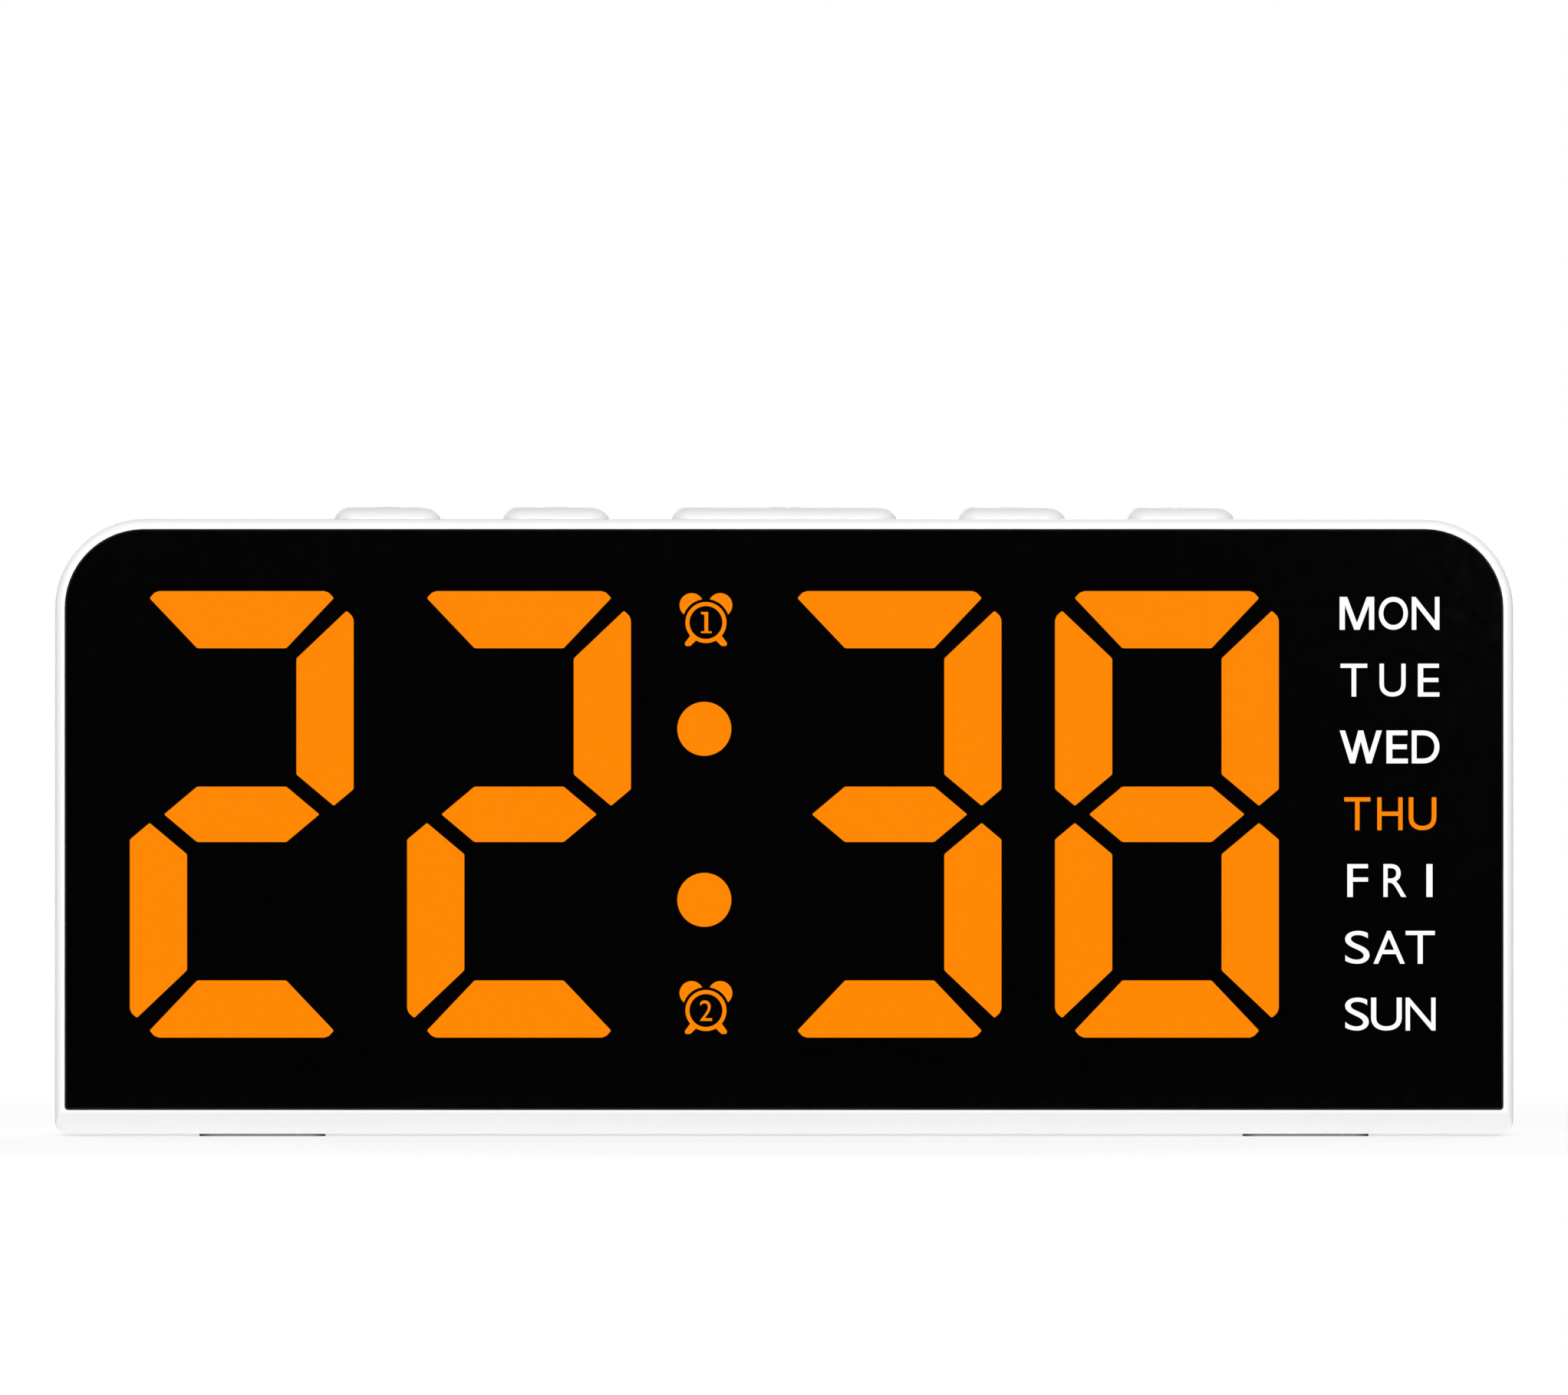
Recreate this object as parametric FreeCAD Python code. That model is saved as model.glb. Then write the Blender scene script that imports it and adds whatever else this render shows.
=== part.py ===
import FreeCAD, Part
import math
import os

Vector = FreeCAD.Vector
os.makedirs("parts", exist_ok=True)

# A large-digit LED clock. Millimetres, +Z up, +X to the right and +Y to the back, seen from the
# front. The origin is on the table, under the middle of the casing. The casing is built round the
# display, and its depth follows from the display stack in front and the battery bay behind.

# ------------------------------------------------------------------ modelling
cut_over = 1.0        # how far a cutter reaches past what it cuts
near = 0.01           # how close counts as touching, and what a full round stops short by

# ------------------------------------------------------------------ display
digit_width = 24.85
digit_height = 49.6
digit_gap = 5.95
pair_gap = 16.3
weekday_gap = 6.8
weekday_width = 11.1
left_margin = 8.35
right_margin = 8.15
top_margin = 8.0
bottom_margin = 10.7

segment_stroke = 6.35
middle_stroke = 6.15
mitre_gap = 1.6
middle_gap = 1.75
segment_tip = 0.7
tip_run = 1.9
waist_in = 2.2
waist_half = 0.95
waist_slope = 0.84
segment_round = 0.3

dot_diameter = 6.0
dot_spacing = 19.0
icon_diameter = 6.4
icon_spacing = 43.1
word_height = 4.6
word_pitch = 7.42
word_count = 7

# ------------------------------------------------------------------ casing
rim_width = 1.2
rim_round = 0.9
chin_height = 2.75
chin_slope_height = 2.35
chin_slope_depth = 0.9
top_corner_radius = 9.9
bottom_corner_radius = 1.6
back_top_round = 5.0
back_bottom_round = 2.0
back_side_round = 5.0
back_lean = 5.0
wall = 1.8
bezel_depth = 6.4
tongue_length = 1.5
tongue_thickness = 0.8
tongue_gap = 0.1

# ------------------------------------------------------------------ lens and display stack
lens_recess = 0.15
lens_thickness = 1.5
lens_gap = 0.1
ledge_width = 1.4
ledge_thickness = 1.2
mask_thickness = 0.2
mask_gap = 0.3
window_gap = 0.05
well_gap = 0.1
reflector_thickness = 5.0
reflector_margin = 0.8
reflector_corner = 1.0
peg_radius = 0.9
peg_root = 1.0
led_length = 3.5
led_width = 2.8
led_height = 0.8
led_gap = 0.35
board_thickness = 1.6
board_clearance = 0.5
ear_half_width = 3.0
rear_parts_space = 2.09

# ------------------------------------------------------------------ batteries
cell_diameter = 10.5
cell_length = 44.5
nub_diameter = 3.8
nub_length = 1.0
cell_round = 0.5
cell_count = 3
cell_gap = 0.4
cell_floor_gap = 0.2
cell_door_gap = 0.3
spring_length = 3.4
spring_wire = 0.6
spring_half_turns = 7
spring_radius = 3.4
spring_taper = 24.0
spring_slack = 0.05
contact_thickness = 0.3
contact_width = 9.0
tab_width = 2.0
tab_reach = 2.0
tab_gap = 0.2
bay_wall = 2.4
bay_floor = 1.4
bay_start = 6.0
door_thickness = 1.6
door_seat = 1.2
door_gap = 0.3
door_round = 1.5
door_ear_radius = 3.2
door_ear_rise = 0.6
door_screw_seat = 0.9
door_screw_length = 6.0
door_screw_tip_gap = 0.5
door_post_wall = 1.8
door_post_floor = 1.0
door_rib_width = 6.0
door_rib_length = 2.0
door_rib_thickness = 1.0
door_rib_gap = 0.2
door_rib_spread = 14.0
door_surround = 1.4

# ------------------------------------------------------------------ buttons and switches
small_button_width = 11.84
wide_button_width = 25.05
button_gap = 6.96
button_depth = 7.5
button_rise = 1.4
button_round = 1.2
button_corner = 2.4
button_setback = 4.65
button_clearance = 0.25
button_travel = 0.5
flange_width = 0.8
flange_thickness = 0.8
flange_gap = 0.2
stem_radius = 1.6
stem_length = 1.8
switch_size = 6.0
switch_height = 3.5
plunger_radius = 1.7
plunger_rise = 1.5
plunger_depth = 0.8
plunger_gap = 0.1
key_board_thickness = 1.2
key_board_depth = 8.0
key_board_margin = 4.8
key_boss_radius = 2.1

# ------------------------------------------------------------------ fasteners
case_screw_radius = 1.3
case_screw_head_radius = 2.3
case_screw_head_height = 1.8
case_screw_bite = 3.9
case_screw_grip = 9.6
case_screw_inset = 9.0
case_screw_rise = 5.6
case_screw_drop = 4.3
case_boss_radius = 2.6
case_column_radius = 3.6
case_column_floor = 1.5
counterbore_radius = 2.5
small_screw_radius = 1.0
small_screw_head_radius = 1.8
small_screw_head_height = 1.2
small_screw_bite = 3.0
thread_gap = 0.05
shank_gap = 0.15
board_boss_radius = 2.2
web_thickness = 1.6
recess_width = 0.6
recess_depth = 0.6
recess_rim = 0.7
board_screw_shift = 16.8

# ------------------------------------------------------------------ power inlet
inlet_column_gap = 1.0
inlet_board_width = 20.0
inlet_board_depth = 12.0
inlet_board_thickness = 1.0
inlet_board_rise = 4.1
inlet_board_gap = 0.4
inlet_screw_inset = 2.8
inlet_screw_setback = 3.2
socket_width = 8.94
socket_height = 3.26
socket_length = 7.35
socket_shell = 0.3
socket_sink = 0.5
socket_flat = 0.3
socket_gap = 0.3
socket_cavity = 6.5
tongue_board_width = 6.69
tongue_board_thickness = 0.7
tongue_board_length = 5.5

# ------------------------------------------------------------------ parts on the display board
buzzer_inset = 19.65
buzzer_radius = 6.0
buzzer_height = 8.5
buzzer_drop = 3.0
buzzer_hole_radius = 1.0
buzzer_hole_depth = 1.0
duct_radius = 6.8
duct_wall = 1.2
duct_gap = 0.5
slot_width = 1.4
slot_pitch = 2.6
slot_count = 5
chip_inset = 29.45
chip_length = 18.0
chip_width = 7.5
chip_height = 2.3
driver_length = 15.4
driver_space = 12.6
driver_key_gap = 0.3
driver_inset = 35.65
crystal_length = 11.0
crystal_width = 4.6
crystal_height = 3.5
crystal_gap = 2.7
capacitor_radius = 3.15
capacitor_height = 7.7
capacitor_inset = 11.45
capacitor_spacing = 9.0
plug_width = 14.0
plug_height = 5.0
plug_depth = 3.4
plug_drop = 9.0
key_plug_height = 2.4
key_plug_depth = 3.0
ribbon_width = 10.0
ribbon_thickness = 0.3
lead_radius = 0.6
lead_run = 4.0
power_lead_rise = 5.0
power_lead_spacing = 4.0
power_lead_setback = 1.5

# ------------------------------------------------------------------ feet
foot_proud = 0.3
foot_thickness = 1.0
foot_length = 14.0
foot_width = 4.0
foot_gap = 0.1
foot_side_inset = 23.0
front_foot_inset = 3.2
rear_foot_inset = 5.2

# ------------------------------------------------------------------ sizes that follow
lean = math.radians(back_lean)
case_width = left_margin + 4 * digit_width + 2 * digit_gap + pair_gap
case_width += weekday_gap + weekday_width + right_margin
case_height = bottom_margin + digit_height + top_margin
half_width = case_width / 2
case_bottom = foot_proud
case_top = case_bottom + case_height

bay_width = cell_length + spring_length + 2 * contact_thickness
bay_height = cell_count * (cell_diameter + cell_gap) + cell_gap
bay_end = bay_start + bay_height
bay_depth = door_thickness + cell_door_gap + cell_diameter + cell_floor_gap
bay_half = bay_width / 2

stack_depth = lens_recess + lens_thickness + mask_thickness + reflector_thickness + board_thickness
bay_front_depth = stack_depth + rear_parts_space


def casing_depth():
    """Depth of the foot of the casing, so that the leaning bay clears the display board."""
    corner = (case_bottom + back_bottom_round) * math.sin(lean)
    corner += back_bottom_round * (1 - math.cos(lean)) - bay_depth - bay_floor
    need = bay_front_depth - corner * math.cos(lean) + (bay_end + bay_wall) * math.sin(lean)
    return 2 * need / (1 + math.cos(lean) ** 2)


case_depth = casing_depth()
front_y = -case_depth / 2
parting_y = front_y + bezel_depth
lens_front_y = front_y + lens_recess
lens_rear_y = lens_front_y + lens_thickness
ledge_y = lens_rear_y + mask_thickness
ledge_rear_y = ledge_y + ledge_thickness
board_front_y = ledge_y + reflector_thickness
board_rear_y = board_front_y + board_thickness

# The leaning back lies at this distance from the origin, along its own outward normal.
back_normal = Vector(0, math.cos(lean), math.sin(lean))
back_distance = (case_depth / 2 - back_bottom_round) * math.cos(lean)
back_distance += (case_bottom + back_bottom_round) * math.sin(lean) + back_bottom_round

digit_centre_z = case_bottom + bottom_margin + digit_height / 2
digit_pitch = digit_width + digit_gap
first_digit_x = -half_width + left_margin + digit_width / 2
third_digit_x = first_digit_x + digit_pitch + digit_width + pair_gap
digit_centres = [first_digit_x, first_digit_x + digit_pitch]
digit_centres += [third_digit_x, third_digit_x + digit_pitch]
colon_x = (digit_centres[1] + digit_centres[2]) / 2
weekday_x = digit_centres[3] + digit_width / 2 + weekday_gap + weekday_width / 2

lens_bottom = case_bottom + chin_height
lens_top = case_top - rim_width
lens_half_width = half_width - rim_width
lens_corner = top_corner_radius - rim_width

reflector_left = digit_centres[0] - digit_width / 2 - reflector_margin
reflector_right = weekday_x + weekday_width / 2 + reflector_margin
reflector_bottom = digit_centre_z - digit_height / 2 - reflector_margin
reflector_top = digit_centre_z + digit_height / 2 + reflector_margin

button_y = board_rear_y + button_setback
small_pitch = small_button_width + button_gap
inner_button_x = (wide_button_width + small_button_width) / 2 + button_gap
outer_button_x = inner_button_x + small_pitch
button_underside = case_top - wall - flange_gap - flange_thickness
key_board_top = button_underside - stem_length - plunger_rise - switch_height
key_board_bottom = key_board_top - key_board_thickness
key_board_half = outer_button_x + switch_size / 2 + key_board_margin
key_boss_xs = [inner_button_x - (small_button_width + button_gap) / 2]
key_boss_xs += [inner_button_x + small_pitch / 2]

ear_x = key_board_half + ear_half_width + 2 * board_clearance
case_screw_x = ear_x + case_screw_inset
case_screw_low = case_bottom + case_screw_rise
case_screw_high = case_top - case_screw_drop
screw_heights = (case_screw_low, case_screw_high)
screw_places = [(side * case_screw_x, z) for side in (-1, 1) for z in screw_heights]
screw_seat_y = parting_y + case_screw_grip
board_screw_low_x = ear_x - board_screw_shift
board_screw_low = case_bottom + wall + board_boss_radius + 2 * board_clearance
board_screw_high = case_top - wall - board_boss_radius - board_clearance
board_strip_bottom = board_screw_low - board_boss_radius
board_main_bottom = case_screw_low + case_boss_radius + 2 * board_clearance
board_middle_top = reflector_top + 2 * board_clearance
board_screw_places = [(side * board_screw_low_x, board_screw_low) for side in (-1, 1)]
board_screw_places += [(side * ear_x, board_screw_high) for side in (-1, 1)]


# ------------------------------------------------------------------ helpers
def box(x_range, y_range, z_range):
    """Box between two limits along each axis."""
    corner = Vector(x_range[0], y_range[0], z_range[0])
    size = [limits[1] - limits[0] for limits in (x_range, y_range, z_range)]
    return Part.makeBox(size[0], size[1], size[2], corner)


def rod_x(y, z, radius, x_range):
    """Round bar along X."""
    start = Vector(x_range[0], y, z)
    return Part.makeCylinder(radius, x_range[1] - x_range[0], start, Vector(1, 0, 0))


def rod_y(x, z, radius, y_range):
    """Round bar along Y."""
    start = Vector(x, y_range[0], z)
    return Part.makeCylinder(radius, y_range[1] - y_range[0], start, Vector(0, 1, 0))


def rod_z(x, y, radius, z_range):
    """Round bar along Z."""
    start = Vector(x, y, z_range[0])
    return Part.makeCylinder(radius, z_range[1] - z_range[0], start, Vector(0, 0, 1))


def rectangle(left, right, bottom, top):
    """Corner points of a rectangle, anticlockwise from the lower left."""
    return [(left, bottom), (right, bottom), (right, top), (left, top)]


def rounded_face(points, radii, place):
    """Flat face inside a polygon with rounded corners; place turns (u, v) into a point."""
    count = len(points)
    ends = []
    edges = []
    for index in range(count):
        corner = Vector(points[index][0], points[index][1], 0)
        before = Vector(points[index - 1][0], points[index - 1][1], 0) - corner
        after = Vector(points[(index + 1) % count][0], points[(index + 1) % count][1], 0) - corner
        radius = radii[index]
        if radius <= 0:
            ends.append((corner, None, corner))
            continue
        before.normalize()
        after.normalize()
        half = before.getAngle(after) / 2
        bisector = before + after
        bisector.normalize()
        run = radius / math.tan(half)
        middle = corner + bisector * (radius / math.sin(half) - radius)
        ends.append((corner + before * run, middle, corner + after * run))
    for index in range(count):
        start, middle, end = ends[index]
        if middle is not None:
            arc = Part.Arc(place(start.x, start.y), place(middle.x, middle.y), place(end.x, end.y))
            edges.append(arc.toShape())
        following = ends[(index + 1) % count][0]
        if (following - end).Length > near / 1000:
            edges.append(Part.makeLine(place(end.x, end.y), place(following.x, following.y)))
    return Part.Face(Part.Wire(edges))


def prism_y(points, radii, y_range):
    """Solid with a rounded outline in X and Z, along Y."""
    face = rounded_face(points, radii, lambda u, v: Vector(u, y_range[0], v))
    return face.extrude(Vector(0, y_range[1] - y_range[0], 0))


def prism_z(points, radii, z_range):
    """Solid with a rounded outline in X and Y, along Z."""
    face = rounded_face(points, radii, lambda u, v: Vector(u, v, z_range[0]))
    return face.extrude(Vector(0, 0, z_range[1] - z_range[0]))


def grow(points, distance):
    """Convex anticlockwise polygon with each side moved outwards."""
    count = len(points)
    lines = []
    for index in range(count):
        x0, y0 = points[index]
        x1, y1 = points[(index + 1) % count]
        length = math.hypot(x1 - x0, y1 - y0)
        nx, ny = (y1 - y0) / length, (x0 - x1) / length
        lines.append((nx, ny, nx * x0 + ny * y0 + distance))
    grown = []
    for index in range(count):
        a0, b0, c0 = lines[index - 1]
        a1, b1, c1 = lines[index]
        scale = a0 * b1 - a1 * b0
        grown.append(((c0 * b1 - c1 * b0) / scale, (a0 * c1 - a1 * c0) / scale))
    return grown


def on_back(shape):
    """Move a shape from the leaning back's own frame, whose Y = 0 is the outside of the back."""
    moved = shape.copy()
    moved.rotate(Vector(0, 0, 0), Vector(1, 0, 0), back_lean)
    moved.translate(back_normal * back_distance)
    return moved


def back_y(z, inset):
    """Y of the leaning back at a height, moved inwards by inset."""
    return (back_distance - inset - z * math.sin(lean)) / math.cos(lean)


def tube(points, radius):
    """Wire lead along straight runs joined by tangent arcs."""
    corners = [Vector(*point) for point in points]
    edges = []
    start = corners[0]
    for index in range(1, len(corners) - 1):
        before = corners[index - 1] - corners[index]
        after = corners[index + 1] - corners[index]
        shorter = min(before.Length, after.Length)
        before.normalize()
        after.normalize()
        half = before.getAngle(after) / 2
        run = 0.45 * shorter
        bend = run * math.tan(half)
        bisector = before + after
        bisector.normalize()
        arc_start = corners[index] + before * run
        arc_middle = corners[index] + bisector * (bend / math.sin(half) - bend)
        arc_end = corners[index] + after * run
        edges.append(Part.makeLine(start, arc_start))
        edges.append(Part.Arc(arc_start, arc_middle, arc_end).toShape())
        start = arc_end
    edges.append(Part.makeLine(start, corners[-1]))
    path = Part.Wire(edges)
    ring = Part.Wire([Part.makeCircle(radius, corners[0], corners[1] - corners[0])])
    return path.makePipeShell([ring], True, True)


def screw(radius, length, head_radius, head_height):
    """Cross-head screw whose head stands on Z = 0 and whose shank points down."""
    body = rod_z(0, 0, head_radius, (0, head_height))
    body = body.fuse(rod_z(0, 0, radius, (-length, 0)))
    arm = head_radius - recess_rim
    top = (head_height - recess_depth, head_height)
    cross = box((-arm, arm), (-recess_width / 2, recess_width / 2), top)
    cross = cross.fuse(box((-recess_width / 2, recess_width / 2), (-arm, arm), top))
    return body.cut(cross).removeSplitter()


def pointed(shape, direction, place):
    """Turn a shape that stands along +Z to another direction and put it in place."""
    turned = shape.copy()
    rotation = FreeCAD.Rotation(Vector(0, 0, 1), Vector(*direction))
    turned.Placement = FreeCAD.Placement(Vector(*place), rotation)
    return turned


def half_space(y_range):
    """Slab across the whole casing between two depths."""
    return box((-case_width, case_width), y_range, (-case_height, 2 * case_height))


# ------------------------------------------------------------------ casing
def case_outline(inset, y_range):
    """Front outline of the casing, moved inwards by inset, as a bar along Y."""
    points = rectangle(inset - half_width, half_width - inset, case_bottom + inset, case_top - inset)
    low = max(bottom_corner_radius - inset, segment_round)
    high = top_corner_radius - inset
    return prism_y(points, [low, low, high, high], y_range)


def case_solid(inset):
    """Whole casing without its front rounding, moved inwards by inset."""
    outline = case_outline(inset, (front_y, case_depth))
    low, high = case_bottom + inset, case_top - inset
    side_points = [(front_y - cut_over, low), (back_y(low, inset), low)]
    side_points += [(back_y(high, inset), high), (front_y - cut_over, high)]
    side_radii = [0, max(back_bottom_round - inset, segment_round), back_top_round - inset, 0]
    side = rounded_face(side_points, side_radii, lambda u, v: Vector(-case_width, u, v))
    side = side.extrude(Vector(2 * case_width, 0, 0))
    plan_points = rectangle(inset - half_width, half_width - inset, -2 * case_depth, -inset)
    round_back = back_side_round - inset
    plan = prism_z(plan_points, [0, 0, round_back, round_back], (-case_height, 2 * case_height))
    return outline.common(side).common(on_back(plan))


def lens_prism(offset, y_range):
    """Outline of the lens, moved outwards by offset, as a bar along Y."""
    side = lens_half_width + offset
    points = rectangle(-side, side, lens_bottom - offset, lens_top + offset)
    low = max(segment_round + offset, 0)
    high = lens_corner + offset
    return prism_y(points, [low, low, high, high], y_range)


def chin_cutter():
    """Wedge that slopes the chin back under the lens."""
    top = case_bottom + chin_slope_height
    slope = chin_slope_depth / chin_slope_height
    points = [(front_y - cut_over, top + cut_over / slope)]
    points += [(front_y - cut_over, case_bottom - cut_over)]
    points += [(front_y + (top - case_bottom + cut_over) * slope, case_bottom - cut_over)]
    face = rounded_face(points, [0, 0, 0], lambda u, v: Vector(-case_width, u, v))
    return face.extrude(Vector(2 * case_width, 0, 0))


def rounded_front(solid):
    """Round the front edge of the casing all the way round."""
    edges = []
    for edge in solid.Edges:
        if edge.BoundBox.YMax < front_y + near:
            edges.append(edge)
    return solid.makeFillet(rim_round, edges)


def boss(x, z, radius, y_range, web_range):
    """Screw boss with a web that ties it to the nearer of the casing's floor and top."""
    post = rod_y(x, z, radius, y_range)
    if z < digit_centre_z:
        reach = (case_bottom + wall / 2, z)
    else:
        reach = (z, case_top - wall / 2)
    web = box((x - web_thickness / 2, x + web_thickness / 2), web_range, reach)
    return post.fuse(web)


def foot_places():
    """Middle of each foot, in X and Y."""
    rows = (front_y + chin_slope_depth + front_foot_inset, case_depth / 2 - rear_foot_inset)
    column = half_width - foot_side_inset
    return [(side * column, y) for side in (-1, 1) for y in rows]


def foot(x, y, offset, z_range):
    """Bar with round ends, lying along X."""
    half, side = foot_length / 2 + offset, foot_width / 2 + offset
    points = rectangle(x - half, x + half, y - side, y + side)
    return prism_z(points, [side - near] * 4, z_range)


def foot_recesses():
    """Pockets in the underside that hold the feet."""
    z_range = (-cut_over, foot_thickness)
    cutters = [foot(x, y, foot_gap, z_range) for x, y in foot_places()]
    return Part.makeCompound(cutters)


def make_front_bezel():
    """White frame: rim, chin, ledge for the lens, and bosses for the board and the case screws."""
    outer = rounded_front(case_solid(0)).cut(chin_cutter())
    shell = outer.common(half_space((front_y - cut_over, parting_y)))
    inner = case_solid(wall)
    shell = shell.cut(lens_prism(lens_gap, (front_y - cut_over, ledge_y)))
    shell = shell.cut(lens_prism(-ledge_width, (front_y, ledge_rear_y + cut_over)))
    shell = shell.cut(inner.common(half_space((ledge_rear_y, parting_y + cut_over))))
    tongue = case_solid(wall - tongue_thickness).cut(inner)
    tongue = tongue.common(half_space((parting_y - cut_over, parting_y + tongue_length)))
    shell = shell.fuse(tongue)
    posts = []
    web_range = (ledge_y, parting_y)
    for x, z in screw_places:
        posts.append(boss(x, z, case_boss_radius, web_range, web_range))
    for x, z in board_screw_places:
        posts.append(boss(x, z, board_boss_radius, (ledge_y, board_front_y), web_range))
    for post in posts:
        shell = shell.fuse(post)
    holes = []
    for x, z in screw_places:
        tip = parting_y - case_screw_bite - thread_gap
        holes.append(rod_y(x, z, case_screw_radius + thread_gap, (tip, parting_y + cut_over)))
    for x, z in board_screw_places:
        tip = board_front_y - small_screw_bite - thread_gap
        span = (tip, board_front_y + cut_over)
        holes.append(rod_y(x, z, small_screw_radius + thread_gap, span))
    shell = shell.cut(Part.makeCompound(holes))
    return shell.cut(foot_recesses()).removeSplitter()


def make_lens():
    """Flat front lens."""
    return lens_prism(0, (lens_front_y, lens_rear_y))


def make_lens_tape():
    """Double-sided tape between the lens and its ledge."""
    frame = lens_prism(0, (lens_rear_y, ledge_y))
    return frame.cut(lens_prism(-ledge_width, (lens_rear_y - cut_over, ledge_y + cut_over)))


# ------------------------------------------------------------------ display
def flip_x(points):
    """Outline mirrored left to right, still anticlockwise."""
    return [(-x, y) for x, y in reversed(points)]


def flip_y(points):
    """Outline mirrored top to bottom, still anticlockwise."""
    return [(x, -y) for x, y in reversed(points)]


def segment_outlines():
    """Outlines of segments a to g round the middle of one digit, by name."""
    half_w, half_h = digit_width / 2, digit_height / 2
    mitre = mitre_gap / math.sqrt(2)
    cut = mitre + segment_tip
    flat = cut + tip_run
    top = [(half_w - flat, half_h), (flat - half_w, half_h)]
    top += [(cut - half_w, half_h - segment_tip)]
    top += [(mitre + segment_stroke - half_w, half_h - segment_stroke)]
    top += [(half_w - mitre - segment_stroke, half_h - segment_stroke)]
    top += [(half_w - cut, half_h - segment_tip)]
    upper_left = [(-half_w, half_h - flat)]
    upper_left += [(-half_w, waist_half + waist_slope * waist_in)]
    upper_left += [(waist_in - half_w, waist_half)]
    inner = waist_half + waist_slope * (segment_stroke - waist_in)
    upper_left += [(segment_stroke - half_w, inner)]
    upper_left += [(segment_stroke - half_w, half_h - mitre - segment_stroke)]
    upper_left += [(segment_tip - half_w, half_h - cut)]
    angle = math.atan(waist_slope)
    tip_in = waist_in + (middle_gap / math.cos(angle) - waist_half) / waist_slope
    shoulder = tip_in + middle_stroke / 2 / waist_slope
    middle = [(tip_in - half_w, 0), (shoulder - half_w, -middle_stroke / 2)]
    middle += [(half_w - shoulder, -middle_stroke / 2), (half_w - tip_in, 0)]
    middle += [(half_w - shoulder, middle_stroke / 2), (shoulder - half_w, middle_stroke / 2)]
    outlines = {"a": top, "b": flip_x(upper_left), "c": flip_y(flip_x(upper_left))}
    outlines.update({"d": flip_y(top), "e": flip_y(upper_left), "f": upper_left, "g": middle})
    return outlines


def segment_bars(centre_x, offset, y_range):
    """The seven segments of a digit, moved outwards by offset, as bars along Y."""
    bars = []
    for outline in segment_outlines().values():
        points = [(x + centre_x, z + digit_centre_z) for x, z in grow(outline, offset)]
        bars.append(prism_y(points, [segment_round] * len(points), y_range))
    return bars


def dot_bars(offset, y_range):
    """The two colon dots."""
    heights = (digit_centre_z - dot_spacing / 2, digit_centre_z + dot_spacing / 2)
    return [rod_y(colon_x, z, dot_diameter / 2 + offset, y_range) for z in heights]


def icon_bars(offset, y_range):
    """The round blocks behind the two alarm icons."""
    heights = (digit_centre_z - icon_spacing / 2, digit_centre_z + icon_spacing / 2)
    return [rod_y(colon_x, z, icon_diameter / 2 + offset, y_range) for z in heights]


def word_heights():
    """Middle height of each weekday word, top row first."""
    first = digit_centre_z + word_pitch * (word_count - 1) / 2
    return [first - row * word_pitch for row in range(word_count)]


def word_bars(offset, y_range):
    """The blocks behind the weekday words."""
    bars = []
    for z in word_heights():
        half, rise = weekday_width / 2 + offset, word_height / 2 + offset
        points = rectangle(weekday_x - half, weekday_x + half, z - rise, z + rise)
        bars.append(prism_y(points, [segment_round] * 4, y_range))
    return bars


guide_rear_y = board_front_y - led_height - led_gap
guide_range = (lens_rear_y, guide_rear_y)
legend_range = (ledge_y, guide_rear_y)
through = (lens_front_y, board_front_y + cut_over)


def all_windows(offset):
    """Cutters for every segment and dot that shows through the mask."""
    bars = dot_bars(offset, through)
    for centre_x in digit_centres:
        bars += segment_bars(centre_x, offset, through)
    return bars


def make_mask_film():
    """Black film behind the lens, with a window for each segment and dot."""
    film = lens_prism(-ledge_width - mask_gap, (lens_rear_y, ledge_y))
    return film.cut(Part.makeCompound(all_windows(window_gap)))


def peg_places():
    """Pegs that hold the reflector on the board, between the digits and beside the weekdays."""
    left = (digit_centres[0] + digit_centres[1]) / 2
    right = (digit_centres[2] + digit_centres[3]) / 2
    heights = [digit_centre_z + side * digit_height / 4 for side in (-1, 1)]
    return [(x, z) for x in (left, right) for z in heights]


def make_reflector():
    """White block with a well round each light."""
    points = rectangle(reflector_left, reflector_right, reflector_bottom, reflector_top)
    block = prism_y(points, [reflector_corner] * 4, (ledge_y, board_front_y))
    wells = all_windows(well_gap) + icon_bars(well_gap, through) + word_bars(well_gap, through)
    block = block.cut(Part.makeCompound(wells))
    for x, z in peg_places():
        block = block.fuse(rod_y(x, z, peg_radius, (board_front_y - peg_root, board_rear_y)))
    return block.removeSplitter()


def led_places():
    """Middle of each LED in X and Z, and whether it lies along X."""
    places = []
    half_w, half_h = digit_width / 2, digit_height / 2
    rail = half_h - segment_stroke / 2
    post = half_w - segment_stroke / 2
    along = digit_width / 6
    for centre in digit_centres:
        for z in (-rail, 0, rail):
            places += [(centre + side * along, digit_centre_z + z, True) for side in (-1, 1)]
        for side in (-1, 1):
            for z in (-1, 1):
                middle = z * half_h / 2
                places += [(centre + side * post, digit_centre_z + middle + step * along, False)
                           for step in (-1, 1)]
    for spacing in (dot_spacing, icon_spacing):
        places += [(colon_x, digit_centre_z + side * spacing / 2, True) for side in (-1, 1)]
    places += [(weekday_x, z, True) for z in word_heights()]
    return places


def make_leds():
    """Surface-mounted LEDs on the front of the board."""
    leds = []
    for x, z, lying in led_places():
        half_x, half_z = led_width / 2, led_length / 2
        if lying:
            half_x, half_z = led_length / 2, led_width / 2
        y_range = (board_front_y - led_height, board_front_y)
        leds.append(box((x - half_x, x + half_x), y_range, (z - half_z, z + half_z)))
    return Part.makeCompound(leds)


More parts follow.
